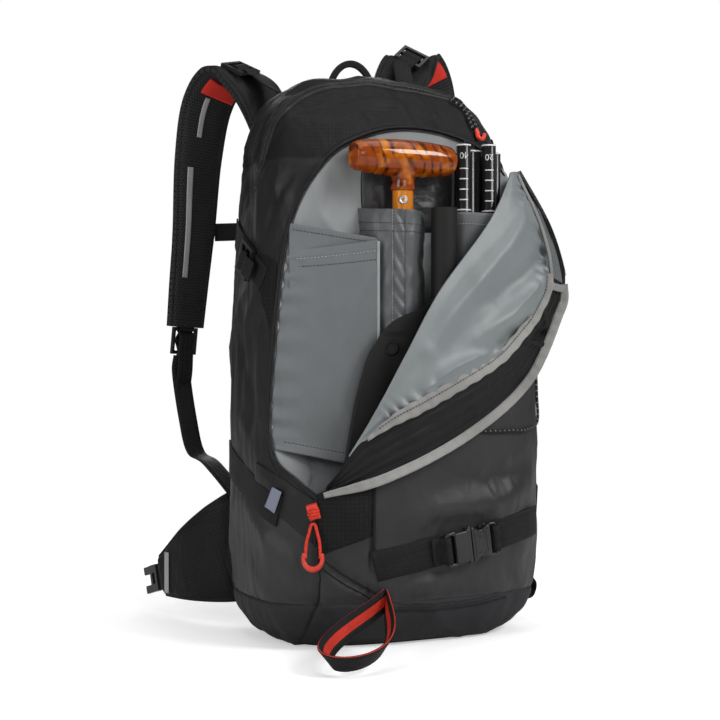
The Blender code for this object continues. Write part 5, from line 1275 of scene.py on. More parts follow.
s = np.linspace(0.10, 0.985, 170)[:, None]
q = np.linspace(0.0, 1.0, 90)[None]
grid = on_flap(s, q * inner_edge(s))
length = np.linalg.norm(np.diff(grid, axis=1), axis=-1).sum(axis=1)[:, None]
to_binding = (1.0 - q) * length
fold_wave = np.sin(14.0 * (s - 0.55 * q) + 2.0 * np.sin(5.0 * s)) * np.sin(math.pi * s) ** 0.5
rolls = 0.0030 * fold_wave * q * (1.2 - q)
puckers = 0.0036 * np.sin(2 * math.pi * (s * 32 + 0.5 * np.sin(26.0 * s))) * bell(to_binding, 0.014)
softness = 0.0034 * wave(grid, 0.045, 4.4) * np.clip(q * 4, 0, 1)
lift = rolls + puckers * (length > 0.02) + softness
cloth_place = np.stack(np.broadcast_arrays(s * 0.42, q * length, 0.0 * q), axis=-1)
for ends, height, width in (
    (((0.97, 0.040), (0.75, 0.035), (0.42, 0.020)), 0.0050, 0.011),
    (((0.93, 0.075), (0.76, 0.075), (0.60, 0.050)), -0.0045, 0.011),
    (((0.86, 0.100), (0.70, 0.100), (0.52, 0.062)), 0.0050, 0.009),
    (((0.66, 0.122), (0.58, 0.098), (0.50, 0.080)), -0.0050, 0.007),
    (((0.56, 0.110), (0.46, 0.070), (0.36, 0.040)), 0.0042, 0.009),
    (((0.45, 0.085), (0.40, 0.065), (0.33, 0.045)), -0.0036, 0.007),
    (((0.36, 0.062), (0.31, 0.045), (0.26, 0.030)), 0.0032, 0.007),
):
    bend = through([(a * 0.42, b, 0.0) for a, b in ends], 5)
    gap, along = line_distance(cloth_place, bend)
    taper = np.sin(np.clip(along / along.max(), 0.03, 0.97) * math.pi) ** 0.6
    lift = lift + 2.0 * height * bell(gap, width) * taper
lift = np.minimum(lift, 0.0018 + 0.6 * np.clip(to_binding - 0.014, 0.0, 1.0))
edge = np.clip(np.minimum(to_binding, length * q + 0.002) / 0.006, 0.0, 1.0)
grid = grid - INWARD * (lift * edge + 0.0004)[..., None]
flap = woven("flap_cloth", grid, np.stack([cloth_place[..., 1], cloth_place[..., 0]], axis=-1))
flap.data.materials.append(flap_lining)
flap.data.materials.append(charcoal_nylon)
modifier = flap.modifiers.new("wall", "SOLIDIFY")
modifier.thickness, modifier.offset, modifier.material_offset = FLAP_THICKNESS, -1.0, 1
apply_modifiers(flap)
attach(flap, "flap")
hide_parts("flap_panel")
sheet_of(flap, grid, "folded", "front_panel")

s = np.linspace(0.012, 0.985, 190)[:, None]
q = np.linspace(0.0, 1.0, 34)[None]
begin = inner_edge(s)
grid = on_flap(s, begin + (0.985 - begin) * q)
ribs = 0.0007 * np.sin(2 * math.pi * q * 5) + 0.0026 * wave(grid, 0.030, 9.0) * np.sin(math.pi * q)
pleat = bell(s - 0.575 - 0.03 * q, 0.007) - 0.8 * bell(s - 0.600 - 0.03 * q, 0.008)
pleat = pleat + 0.6 * bell(s - 0.66 + 0.04 * q, 0.010)
pleat = 0.0075 * pleat * np.sin(math.pi * q) ** 2
grid = grid - INWARD * (ribs + pleat - 0.001)[..., None]
gusset_flat = np.stack(np.broadcast_arrays(q * 0.05, s * 0.55), axis=-1)
gusset = woven("gusset_cloth", grid, gusset_flat)
gusset.data.materials.append(gusset_black)
gusset.data.materials.append(pocket_grey)
upper_end = np.repeat((s[:-1, 0] > 0.735).astype(np.int32), 33)
gusset.data.polygons.foreach_set("material_index", upper_end)
thicken(gusset, 0.0022)
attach(gusset, "flap")
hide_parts("flap_gusset")
sheet_of(gusset, grid, "folded", "front_panel")

# The bindings: soft folded tape, stitched through, drawn into small puckers along the lining's edge
s = np.linspace(0.160, 0.74, 130)
ripple = 0.0007 * np.sin(s * 190.0 + 2.0 * np.sin(s * 41.0))
line = on_flap(s, inner_edge(s) - 0.030 * np.clip((s - 0.16) * 12, 0, 1))
line = line - INWARD * (0.0028 + ripple)[:, None]
wide = 0.0032 + 0.0098 * np.clip((s - 0.16) * 9.0, 0, 1) - 0.0030 * np.clip((s - 0.45) * 4.0, 0, 1)
wide = wide * (1.0 + 0.08 * np.sin(s * 160.0))
binding = band_piece("inner_binding", line, -INWARD, wide, 0.0016)
wear(binding, pale_binding, "flap", slot="lining_grey")
for k, shift in enumerate((-0.012, 0.016)):
    away = unit(free_line[150] - fold_line[150]) * shift * 0.18
    seam = stitches(f"inner_binding_stitch_{k}", line[8:] + away - INWARD * 0.0009, -INWARD)
    wear(seam, dark_thread, "flap", slot="lining_grey")
s = np.linspace(0.72, 0.975, 60)
thin = on_flap(s, inner_edge(s) + 0.01) - INWARD * 0.0030
wear(band_piece("inner_piping", thin, -INWARD, 0.0030, 0.0022), pale_binding, "flap", slot="lining_grey")
s = np.linspace(0.010, 0.735, 170)
ripple = 0.0005 * np.sin(s * 240.0)
line = on_flap(s, 0.962 - 0.02 * bell(s, 0.05)) - INWARD * (0.0024 + ripple)[:, None]
binding = band_piece("outer_binding", line, -INWARD, 0.0045 + 0.0050 * np.clip(s * 12.0, 0, 1), 0.0030)
wear(binding, pale_binding, "flap", slot="lining_grey")
inner = unit(np.gradient(line, axis=0))
line = line + np.cross(inner, INWARD) * 0.0026 - INWARD * 0.0016
seam = stitches("outer_binding_stitch", line, -INWARD, 0.0030)
wear(seam, grey_thread, "flap", slot="lining_grey")
line = on_flap(np.linspace(0.715, 0.725, 12), np.linspace(0.80, 0.975, 12)) - INWARD * 0.0038
wear(band_piece("binding_end", line, -INWARD, 0.0075, 0.0014), pale_binding, "flap", slot="lining_grey")


# The zips: woven tapes with a spiral coil of black nylon, sewn along the opening and the flap's edge, and the
# main zip over the bag's top, hidden between two rolled ridges of cloth.
def coil(name, line, out, radius=0.0012, pitch=0.0017, wire=0.00042):
    """A spiral coil along a line."""
    total = length_of(line)
    count = int(total / pitch) * 6
    both = evenly(np.hstack([line, np.broadcast_to(out, line.shape)]), count)
    middle, up_way = both[:, :3], unit(both[:, 3:])
    side = unit(np.cross(np.gradient(middle, axis=0), up_way))
    angle = np.arange(count)[:, None] * (2 * math.pi / 6)
    return round_piece(name, middle + radius * (np.cos(angle) * side + 0.7 * np.sin(angle) * up_way), wire, 4)


def webbing_paint(name, colour, rib=0.0021):
    """Woven tape: fine ribs in a shallow herringbone."""
    paint, start = new_paint(name)
    flat = start.node("UVMap", uv_map="weave")
    across, along = flat.part(0), flat.part(1)
    slant = ((across / 0.0060).fraction() - 0.5).size() * 0.0030
    ribs = ((along + slant) * (2 * math.pi / rib)).sin()
    place = start.node("TexCoord", out=3)
    cloudy = start.node("TexNoise", {"Vector": place, "Scale": 40.0, "Detail": 3.0}).spread(0.3, 0.7)
    shade = (ribs * 0.5 + 0.5).blend(tint(colour, 0.6), cloudy.blend(tint(colour, 0.9), tint(colour, 1.25)))
    normal = start.node("Bump", {"Strength": 0.5, "Distance": 0.0005, "Height": ribs})
    finish_paint(start, shade, ribs * 0.06 + 0.62, normal, Specular_IOR_Level=0.18)
    return paint


def coil_paint(name, colour):
    paint, start = new_paint(name)
    place = start.node("TexCoord", out=3)
    fine = start.node("TexNoise", {"Vector": place, "Scale": 300.0, "Detail": 2.0}).spread(0.3, 0.7)
    shade = fine.blend(tint(colour, 0.8), tint(colour, 1.2))
    finish_paint(start, shade, fine * 0.08 + 0.32, None, Specular_IOR_Level=0.4)
    return paint


zip_black = webbing_paint("zip_black", (0.0100, 0.0100, 0.0105), 0.0016)
coil_black = coil_paint("coil_black", (0.020, 0.020, 0.021))
coil_grey = coil_paint("coil_grey", (0.110, 0.110, 0.112))
black_thread = thread_paint("black_thread", (0.020, 0.020, 0.021))
edge_black = cloth_paint("edge_black", (0.0090, 0.0090, 0.0096), 0.0, rough=0.5, shine=0.2)
flat = evenly(zip_flat, 220)
inside = unit(np.column_stack([np.gradient(flat[:, 1]), -np.gradient(flat[:, 0])]))
inside = inside * np.sign(np.sum((heart - flat[110]) * inside[110]))
edge_points = on_opening(flat)
into = inside[:, :1] * ACROSS + inside[:, 1:] * UP
line = edge_points + into * 0.0008 + INWARD * 0.0030
tape = band_piece("compartment_zip_tape", line, unit(into - 0.25 * INWARD), 0.0090, 0.0010)
wear(tape, zip_black, "pack", "compartment_zip", slot="zip_black")
teeth = coil("compartment_zip_coil", edge_points + into * 0.0024 + INWARD * 0.0008, -INWARD)
wear(teeth, coil_black, "pack", slot="zip_black")
lip_cord = round_piece("opening_lip", on_cloth(edge_points) - into * 0.0004, 0.0017, 10)
wear(lip_cord, edge_black, "pack", slot="zip_black")
out = skin_normal(edge_points - into * 0.0045)
seam = stitches("opening_stitch", on_cloth(edge_points - into * 0.0045, 0.0002), out)
wear(seam, black_thread, "pack", slot="zip_black")
s = np.linspace(0.715, 0.985, 90)
grow = np.clip((s - 0.715) / 0.05, 0.0, 1.0)
line = on_flap(s, 0.955 + 0.040 * grow) - INWARD * (0.0006 + 0.0010 * grow)[:, None]
tape = band_piece("flap_zip_tape", line, -INWARD, 0.0022 + 0.0022 * grow, 0.0012)
wear(tape, zip_black, "flap", slot="zip_black")
line = on_flap(s[14:], 1.012) - INWARD * 0.0022
teeth = coil("flap_zip_coil", line, np.broadcast_to(-INWARD, line.shape))
wear(teeth, coil_grey, "flap", slot="zip_black")

angle = np.linspace(math.pi, 0.0, 140)
spokes = np.column_stack([np.cos(angle), np.zeros(140), np.sin(angle)])
arch = meets_skin(np.array((0.0, 0.0, 0.440)) + 0.3 * spokes, np.repeat([[0.0, 0.0, 0.440]], 140, 0))
arch_out = skin_normal(arch)
across_arch = unit(np.cross(np.gradient(arch, axis=0), arch_out))
radius = 0.0006 + 0.0022 * np.clip(np.minimum(np.arange(140), np.arange(140)[::-1]) / 14.0, 0.0, 1.0)
for name, shift in (("front", -0.0042), ("back", 0.0042)):
    line = on_cloth(arch + across_arch * shift) - arch_out * 0.0008
    wear(round_piece(f"main_zip_ridge_{name}", line, radius, 12), black_nylon, "pack", slot="ripstop_black")
teeth = coil("main_zip_coil", on_cloth(arch, 0.0008), arch_out, 0.0015, 0.0020, 0.0005)
wear(teeth, coil_black, "pack", "main_zip", slot="zip_black")


# The harness: two curved foam straps, black ripstop outside and spacer mesh inside, bound all round.
# Webbing joins them to the bag's top through ladder locks, to its foot, and to each other over the chest.
STRAP_LINES = {
    "left": (
        (-0.058, 0.1032, 0.455), (-0.067, 0.119, 0.512), (-0.081, 0.146, 0.564), (-0.102, 0.176, 0.588),
        (-0.118, 0.200, 0.560), (-0.125, 0.212, 0.500), (-0.129, 0.216, 0.420), (-0.133, 0.221, 0.360),
        (-0.136, 0.225, 0.312),
    ),
    "right": (
        (0.058, 0.1032, 0.455), (0.070, 0.120, 0.522), (0.092, 0.145, 0.586), (0.122, 0.166, 0.616),
        (0.150, 0.180, 0.590), (0.162, 0.190, 0.525), (0.158, 0.202, 0.430), (0.148, 0.214, 0.360),
        (0.140, 0.225, 0.312),
    ),
}
STRAP_WIDTH, STRAP_THICKNESS, LOCK_LENGTH, TAPE = 0.062, 0.014, 0.030, 0.0016


def threaded(name, centre, along, face, route, body, width=0.020):
    """Tape woven through a ladder lock, by its route of places along and out from the lock's middle."""
    along, face = unit(np.asarray(along)), unit(np.asarray(face))
    line = through([centre + along * 0.001 * a + face * 0.001 * b for a, b in route], 8)
    tape = band_piece(name, line, np.cross(np.cross(along, face), np.gradient(line, axis=0)), width, TAPE)
    return wear(tape, black_webbing, body, slot="webbing_black")


red_cloth = cloth_paint("red_cloth", (0.600, 0.030, 0.018), weave=0.0012, rough=0.6, shine=0.2, cloud=0.08)
silver_strip = cloth_paint(
    "silver_strip", (0.360, 0.345, 0.340), weave=0.0010, rough=0.45, shine=0.4, cloud=0.12,
)
black_webbing = webbing_paint("black_webbing", (0.0130, 0.0130, 0.0138))
top = [
    (-1.0, 0.25), (-0.99, 0.5), (-0.94, 0.62), (-0.885, 0.52), (-0.85, 0.74), (-0.72, 0.94), (-0.36, 1.0),
    (0.0, 1.0),
]
top = top + [(-a, b) for a, b in top[-2::-1]]
pad_section = top + [(a, -b) for a, b in top[::-1]]
sides = len(pad_section)
pad_bands = np.zeros(sides)
pad_bands[len(top) - 1 :] = 1
strap_frames = {}
for name, points in STRAP_LINES.items():
    rough = through(points, 3)
    faces = strap_faces(rough)
    t = np.linspace(0.0, 1.0, len(rough))
    widths = 0.82 + 0.18 * np.sin(math.pi * np.minimum(1.0, 1.3 * t)) - 0.30 * np.maximum(0.0, t - 0.75)
    widths = STRAP_WIDTH * widths
    strap_frames[name] = (rough, faces, widths)
    fine = np.linspace(0.0, 1.0, 150)
    line = through(points, 24)
    line = np.stack([np.interp(fine, np.linspace(0, 1, len(line)), line[:, k]) for k in range(3)], axis=1)
    face = unit(np.stack([np.interp(fine, t, faces[:, k]) for k in range(3)], axis=1))
    strap = band_piece(
        f"shoulder_strap_{name}_pad", line, face, np.interp(fine, t, widths), STRAP_THICKNESS,
        pad_section, pad_bands,
    )
    strap.data.materials.append(black_ripstop)
    strap.data.materials.append(spacer_mesh)
    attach(strap, "harness")
    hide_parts(f"shoulder_strap_{name}")

    # Pale strips sewn down the inner face, and red cloth inside the crest
    along = np.gradient(line, axis=0)
    side_way = unit(np.cross(along, face))
    out_way = unit(np.cross(side_way, along))
    half_width = 0.5 * np.interp(fine, t, widths)
    for part, (low, high), share, wide, thick in (
        ("red", (0.418, 0.478), 0.10, 0.70, 0.0016), ("strip_upper", (0.482, 0.590), -0.22, 0.10, 0.0008),
        ("strip_lower", (0.640, 0.865), -0.46, 0.13, 0.0008),
    ):
        pick = (fine > low) & (fine < high)
        deep = 0.5 * STRAP_THICKNESS * (1.0 - 0.10 * abs(share)) + 0.0009
        inner = line[pick] + side_way[pick] * (half_width[pick] * share)[:, None] - out_way[pick] * deep
        wide = 2.0 * half_width[pick] * wide
        strip = band_piece(f"shoulder_strap_{name}_{part}", inner, -out_way[pick], wide, thick)
        wear(strip, red_cloth if part == "red" else silver_strip, "harness", slot="webbing_black")

    # Load lifter: from the ladder lock at the strap's crest to the bag's top
    crest, side = 8, -1.0 if name == "left" else 1.0
    lift = 0.5 * STRAP_THICKNESS + 0.002 + 0.0006 + (0.0008 if name == "left" else 0.0058)
    up_face = faces[crest]
    towards = unit(rough[crest - 1] - rough[crest + 1])
    anchor = np.array((side * 0.066, skin_y(side * 0.066, 0.532, 1), 0.532))
    out = skin_normal(anchor)
    anchor = anchor + out * 0.0014
    begin = rough[crest] + up_face * (lift + 0.001) + towards * (0.5 * LOCK_LENGTH + 0.0027)
    weave = [(-19.0, 1.0), (-13.0, 3.4), (-6.5, 0.2), (0.0, 3.4), (6.5, 0.2), (9.0, -0.8)]
    lock = rough[crest] + up_face * lift
    threaded(f"load_lifter_{name}_thread", lock, -towards, up_face, weave, f"lifter_buckle_{name}")
    bow = 0.5 * (begin + anchor) + 0.008 * UP
    path = through([begin, begin + towards * 0.010, bow, anchor + out * 0.005 + UP * 0.010, anchor], 10)
    mix = np.linspace(0.0, 1.0, len(path))[:, None]
    lifter = band_piece(f"load_lifter_{name}_tape", path, unit(up_face * (1 - mix) + out * mix), 0.020, TAPE)
    lifter.data.materials.append(black_webbing)
    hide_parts(f"load_lifter_{name}")
    anchor + (begin - anchor) * 0.08
    anchor + (begin - anchor) * 0.92
    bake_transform(lifter)

    # Lower webbing: from the adjuster under the strap's tip down to the bag's foot
    down = unit(rough[-1] - rough[-2])
    begin = rough[-1] + down * (LOCK_LENGTH + 0.0024)
    lock = rough[-1] + down * (0.5 * LOCK_LENGTH + 0.0006)
    weave = [
        (19.0, 0.0), (13.0, -3.2), (6.5, -0.2), (0.0, 3.4), (-6.5, 0.2), (-9.0, -2.6), (-5.0, -4.6),
        (3.0, -5.0), (16.0, -5.6), (34.0, -7.0), (52.0, -6.0), (66.0, -8.0),
    ]
    threaded(f"strap_webbing_{name}_thread", lock, down, faces[-1], weave, f"adjuster_buckle_{name}")
    weave = [
        (-20.0, 0.5), (-16.0, 3.0), (-12.8, 3.4), (-9.6, 0.0), (-12.8, -3.4), (-16.0, -3.0), (-19.0, -0.5),
    ]
    threaded(f"strap_tip_{name}_thread", lock, down, faces[-1], weave, f"adjuster_buckle_{name}", 0.0185)
    end = np.array((side * 0.118, skin_y(side * 0.118, 0.112, 1) + 0.0024, 0.112))
    points = [
        begin, begin + down * 0.020, (side * 0.139, 0.208, 0.210), (side * 0.139, 0.182, 0.175),
        (side * 0.134, 0.145, 0.164), end + (0.0, 0.012, 0.016), end,
    ]
    path = through(points, 12)
    tape = band_piece(f"strap_webbing_{name}_tape", path, strap_faces(path), 0.022, TAPE)
    tape.data.materials.append(black_webbing)
    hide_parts(f"strap_webbing_{name}")
    end + (begin - end) * 0.06
    end + (begin - end) * 0.94
    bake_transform(tape)

ends = {}
for name, (rough, faces, widths) in strap_frames.items():
    half = len(rough) // 2
    k = half + int(np.argmin(np.abs(rough[half:, 2] - 0.420)))
    inward = unit(np.cross(rough[k + 1] - rough[k - 1], faces[k])) * (1.0 if name == "left" else -1.0)
    ends[name] = rough[k] + inward * (0.5 * widths[k] + 0.0015)
middle, axis = 0.5 * (ends["left"] + ends["right"]), unit(ends["right"] - ends["left"])
for name, stop in (("left", -0.0263), ("right", 0.0203)):
    inner = middle + axis * stop
    path = evenly([ends[name], inner], 30)
    tape = band_piece(f"sternum_strap_{name}_tape", path, (0.0, 1.0, 0.0), 0.020, TAPE)
    tape.data.materials.append(black_webbing)
    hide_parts(f"sternum_strap_{name}")
    if name == "left":
        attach(tape, "harness")
    else:
        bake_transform(tape)

# Haul loop
turn = np.linspace(0.0, math.pi, 50)
x, z = 0.027 * np.cos(turn), 0.552 + 0.040 * np.sin(turn)
y = np.full_like(x, skin_y(0.0, 0.552, 1) + 0.0032)
line = np.column_stack([x, y, z])
handle = band_piece("haul_loop_tape", line, (0.0, 1.0, 0.0), 0.0062 + 0.0010 * np.sin(turn), 0.0042)
wear(handle, black_webbing, "handle", "grab_handle", slot="webbing_black")


# The hip belt: a padded wing on each side, curved round the hips and tapered to the waist buckle.
WING_LINE = ((0.112, 0.102), (0.138, 0.118), (0.158, 0.150), (0.170, 0.195))
for name, side in (("left", -1.0), ("right", 1.0)):
    level = evenly(through(WING_LINE, 12), 70)
    t = np.linspace(0.0, 1.0, 70)
    line = np.column_stack([side * level[:, 0], level[:, 1], 0.080 - 0.040 * t])
    along = np.gradient(line, axis=0)
    face = unit(np.cross(along, UP)) * side
    face[:, 2] = 0.0
    wing = band_piece(
        f"hip_wing_{name}_pad", line, -unit(face) * np.sign((face @ (1, 0, 0)) * side)[:, None],
        0.118 + (0.046 - 0.118) * t**1.15, 0.012, pad_section, pad_bands, swell=0.0003,
    )
    wing.data.materials.append(spacer_mesh)
    wing.data.materials.append(black_ripstop)
    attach(wing, f"hip_{name}")
    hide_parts(f"hip_wing_{name}")
    outer, way = np.array((side, -0.9, 0.0)), along[60]
    outer = outer - way * np.dot(outer, way) / np.dot(way, way)
    outer[2] = 0.0
    outer = unit(outer)
    strip = line[60] + outer * 0.0072 + UP * np.linspace(0.022, -0.022, 20)[:, None]
    strip = band_piece(f"hip_strip_{name}", strip, outer, 0.0075, 0.0010)
    wear(strip, silver_strip, f"hip_{name}", slot="webbing_black")


# The side straps: flat tape sewn into the side seams, drawn forward over the load. The upper ones pass a
# ladder lock and end in a wing of cloth.
def skin_band(name, line, width, lift=0.0014, thick=TAPE):
    """Tape laid along the bag's folded cloth."""
    return band_piece(name, on_cloth(line, lift), skin_normal(line), width, thick)


def patch(name, pixels, out, count=(40, 30), thick=0.0010):
    """A piece of cloth on the bag's outside, by its four corners in the camera's square picture."""
    a, b, c, d = (np.array(p, float) for p in pixels)
    over, up = np.meshgrid(np.linspace(0.0, 1.0, count[0]), np.linspace(0.0, 1.0, count[1]))
    over, up = over[..., None], up[..., None]
    spots = (a * (1 - over) + b * over) * (1 - up) + (d * (1 - over) + c * over) * up
    grid = on_cloth(on_view(spots.reshape(-1, 2)), out).reshape(*spots.shape[:2], 3)
    flat = np.concatenate([spots[..., :1], -spots[..., 1:]], axis=-1) * 0.00095
    return thicken(woven(name, grid[::-1], flat[::-1]), thick, -1.0)


def seen_line(pixels, out, count=60):
    """A line on the folded cloth through places of the camera's square picture."""
    return on_cloth(on_view(evenly(through(pixels, 8), count)), out)


def plastic_paint(name, colour, rough=0.38, grain=420.0):
    """Moulded nylon, with a fine grain."""
    paint, start = new_paint(name)
    place = start.node("TexCoord", out=3)
    fine = start.node("TexNoise", {"Vector": place, "Scale": grain, "Detail": 3.0}).spread(0.3, 0.7)
    cloudy = start.node("TexNoise", {"Vector": place, "Scale": 30.0, "Detail": 2.0}).spread(0.3, 0.7)
    normal = start.node("Bump", {"Strength": 0.10, "Distance": 0.0003, "Height": fine})
    shade = cloudy.blend(tint(colour, 0.85), tint(colour, 1.15))
    finish_paint(start, shade, fine * 0.08 + rough, normal, Specular_IOR_Level=0.5)
    return paint


buckle_black = plastic_paint("buckle_black", (0.0125, 0.0125, 0.0135), 0.27)
reflective = cloth_paint(
    "reflective", (0.190, 0.205, 0.270), weave=0.0010, rough=0.4, shine=0.4, cloud=0.05,
)
for name, side in (("left", -1), ("right", 1)):
    tape = skin_band(f"upper_strap_{name}_tape", side_line(side, *UPPER_STRAP, 60), 0.025)
    wear(tape, black_webbing, "pack", f"upper_strap_{name}", slot="webbing_black")
    tape = skin_band(f"lower_strap_{name}_tape", side_line(side, *LOWER_STRAP, 70), 0.030)
    wear(tape, black_webbing, "pack", f"lower_strap_{name}", slot="webbing_black")
    lock = np.array((skin_x(0.008, 0.3735, side), 0.008, 0.3735))
    out = skin_normal(lock)
    weave = [
        (-14.0, -3.0), (-10.5, -2.2), (-6.5, 0.4), (0.0, 3.4), (6.5, 0.6), (13.0, 3.2),
        (20.0, 2.0), (30.0, 0.4),
    ]
    forward_down = np.array((0.0, -0.116, -0.066))
    forward_down = forward_down - out * (forward_down @ out)
    lock = lock + out * 0.0066
    threaded(f"upper_strap_{name}_thread", lock, forward_down, out, weave, f"upper_buckle_{name}")
wing_corners = [(257, 252), (277, 262), (273, 338), (262, 296)]
wing = patch("upper_wing", wing_corners, 0.0012, (24, 40))
wear(wing, black_ripstop, "pack", slot="ripstop_black")

# Black cloth under the opening's low end: a stiff band from the side, a ripstop wedge and their piped seam
band_corners = [(258, 462), (315, 501), (315, 547), (254, 494)]
band = patch("lower_band", band_corners, 0.0010, (50, 30))
wear(band, black_nylon, "pack", slot="ripstop_black")
wedge_corners = [(317, 494), (374, 470), (372, 536), (317, 556)]
wedge = patch("front_wedge", wedge_corners, 0.0012, (50, 44))
wear(wedge, black_ripstop, "pack", slot="ripstop_black")
hem = [(316, 498), (315, 520), (315, 546)]
hem_cord = round_piece("lower_band_edge", seen_line(hem, 0.0014), 0.0011, 8)
wear(hem_cord, black_nylon, "pack", slot="ripstop_black")
tab_corners = [(276, 487), (284, 492), (277, 513), (268, 506)]
tab = patch("reflective_tab", tab_corners, 0.0052, (12, 14), 0.0012)
wear(tab, reflective, "pack", slot="webbing_black")
piping = [(375, 470), (374, 520), (374, 553), (378, 573)]
piping = round_piece("front_piping", seen_line(piping, 0.0006, 120), 0.0014, 8)
wear(piping, edge_black, "pack", slot="ripstop_black")
for k, pixels in enumerate((
    [(319, 556), (319, 580), (318, 599), (312, 615), (300, 641)],
    [(318, 556), (340, 573), (362, 586), (388, 599)],
    [(319, 566), (340, 582), (360, 593), (384, 604)],
    [(391, 610), (431, 610), (470, 606), (506, 597)],
)):
    line = seen_line(pixels, 0.0002, 90)
    groove = band_piece(f"front_seam_{k}", line, skin_normal(line), 0.0017, 0.0009)
    wear(groove, edge_black, "pack", slot="coated_charcoal")
for k, raised in enumerate((0, 3)):
    pixels = [(396, 607 - raised), (431, 607 - raised), (470, 603 - raised), (500, 595 - raised)]
    line = seen_line(pixels, 0.0002, 90)
    wear(stitches(f"base_stitch_{k}", line, skin_normal(line)), black_thread, "pack", slot="coated_charcoal")


# The front carry strap: tape across the front to a side-release buckle, for skis or a board.
def front_strap_line(x0, x1, count=60):
    (left_x, left_z), (right_x, right_z) = FRONT_STRAP
    share = (np.array((x0, x1)) - left_x) / (right_x - left_x)
    z0, z1 = left_z + (right_z - left_z) * share
    return front_line((x0, z0), (x1, z1), count)


for name, x0, x1 in (("left", -0.063, 0.010), ("right", 0.0645, 0.128)):
    tape = skin_band(f"front_strap_{name}_tape", front_strap_line(x0, x1), 0.030)
    wear(tape, black_webbing, "pack", f"front_strap_{name}", slot="webbing_black")
middle = front_strap_line(0.030, 0.050, 3)
out = skin_normal(middle[1])
weave = [
    (-44.0, -5.0), (-37.0, -4.4), (-34.4, 0.3), (-32.5, 4.2), (-30.4, 4.8), (-28.4, 4.2), (-26.4, 1.0),
    (-25.8, -3.0),
]
buckle_at = middle[1] + out * 0.0067
threaded("front_strap_left_fold", buckle_at, middle[2] - middle[0], out, weave, "pack", 0.0262)
weave = [
    (39.0, -5.0), (31.8, -4.4), (29.0, 0.3), (27.0, 4.2), (25.0, 4.8), (22.8, 4.2), (21.0, 1.0), (20.4, -3.0),
]
threaded("front_strap_right_fold", buckle_at, middle[2] - middle[0], out, weave, "pack", 0.0262)


def round_box(low, high, half, radius):
    """A rectangle's outline with round corners, in millimetres along and across."""
    turn = np.linspace(0.0, 0.5 * math.pi, 7)
    corner = radius * np.column_stack([np.cos(turn), np.sin(turn)])
    spots = ((high - radius, half - radius, 0), (low + radius, half - radius, 1))
    spots += ((low + radius, radius - half, 2), (high - radius, radius - half, 3))
    turns = ((1, 0, 0, 1), (0, -1, 1, 0), (-1, 0, 0, -1), (0, 1, -1, 0))
    return np.vstack([corner @ np.array(turns[k]).reshape(2, 2).T + (x, y) for x, y, k in spots])


def moulded(name, outline, hole, low, high, edge, frame_of):
    """A flat moulding from its outline, with one opening or none, and rounded edges. Sizes in millimetres."""
    curve = bpy.data.curves.new(name, "CURVE")
    curve.dimensions, curve.fill_mode = "2D", "BOTH"
    for ring in (outline, hole):
        if len(ring):
            spline = curve.splines.new("POLY")
            spline.points.add(len(ring) - 1)
            for point, (x, y) in zip(spline.points, ring):
                point.co = (0.001 * x, 0.001 * y, 0.0, 1.0)
            spline.use_cyclic_u = True
    curve.extrude, curve.bevel_depth = 0.0005 * (high - low) - 0.001 * edge, 0.001 * edge
    curve.bevel_resolution, curve.offset = 2, -0.001 * edge
    made = bpy.data.objects.new(name, curve)
    bpy.context.scene.collection.objects.link(made)
    select_only(made)
    bpy.ops.object.convert(target="MESH")
    made = bpy.context.object
    made.data.transform(Matrix.Translation((0.0, 0.0, 0.0005 * (low + high))))
    made.data.transform(frame_of)
    select_only(made)
    bpy.ops.object.mode_set(mode="EDIT")
    bpy.ops.mesh.select_all(action="SELECT")
    bpy.ops.mesh.remove_doubles(threshold=0.00002)
    bpy.ops.mesh.normals_make_consistent(inside=False)
    bpy.ops.object.mode_set(mode="OBJECT")
    bpy.ops.object.shade_smooth_by_angle(angle=math.radians(35.0))
    return made


# Buckle: a plug with its tape bar, and a waisted socket of two shells that the plug's arms click into
along = unit(middle[2] - middle[0])
over = np.cross(out, along)
ways = np.column_stack([along, over, out])
frame_of = Matrix([(*row, place) for row, place in zip(ways, buckle_at)] + [(0, 0, 0, 1)])
plug = joined(
    "front_plug_moulded",
    moulded(
        "plug_frame", round_box(-32.5, -19.0, 17.0, 4.0), round_box(-28.5, -23.0, 13.8, 1.2),
        -3.0, 3.0, 1.2, frame_of,
    ),
    moulded("plug_body", round_box(-22.6, -4.8, 15.2, 2.0), (), -4.2, 4.2, 1.2, frame_of),
    moulded("plug_lip", round_box(-9.0, -4.6, 17.0, 1.0), (), -4.5, 4.5, 0.9, frame_of),
    moulded("plug_tongue", round_box(-6.0, 12.0, 3.0, 1.0), (), -2.0, 2.0, 0.6, frame_of),
)
wear(plug, buckle_black, "pack", "front_plug", slot="buckle_plastic")
waist = [(17.5, 15.4), (14.0, 15.8), (10.5, 13.6), (6.5, 12.6), (2.0, 14.6), (-1.0, 16.6), (-3.8, 17.0)]
waist = through(waist, 5)
waist = np.vstack([waist, (waist * (1, -1))[::-1]])
socket = joined(
    "front_socket_moulded",
    moulded("socket_shell", waist, (), 2.4, 4.5, 0.9, frame_of),
    moulded("socket_floor", waist, (), -4.5, -2.4, 0.9, frame_of),
    moulded(
        "socket_rim", waist * (0.72, 0.74) + (1.6, 0), waist * (0.60, 0.62) + (2.0, 0),
        4.2, 5.0, 0.35, frame_of,
    ),
    moulded(
        "socket_frame", round_box(15.4, 27.0, 16.6, 4.0), round_box(18.0, 23.0, 13.8, 1.2),
        -3.0, 3.0, 1.2, frame_of,
    ),
)
wear(socket, buckle_black, "pack", "front_socket", slot="buckle_plastic")


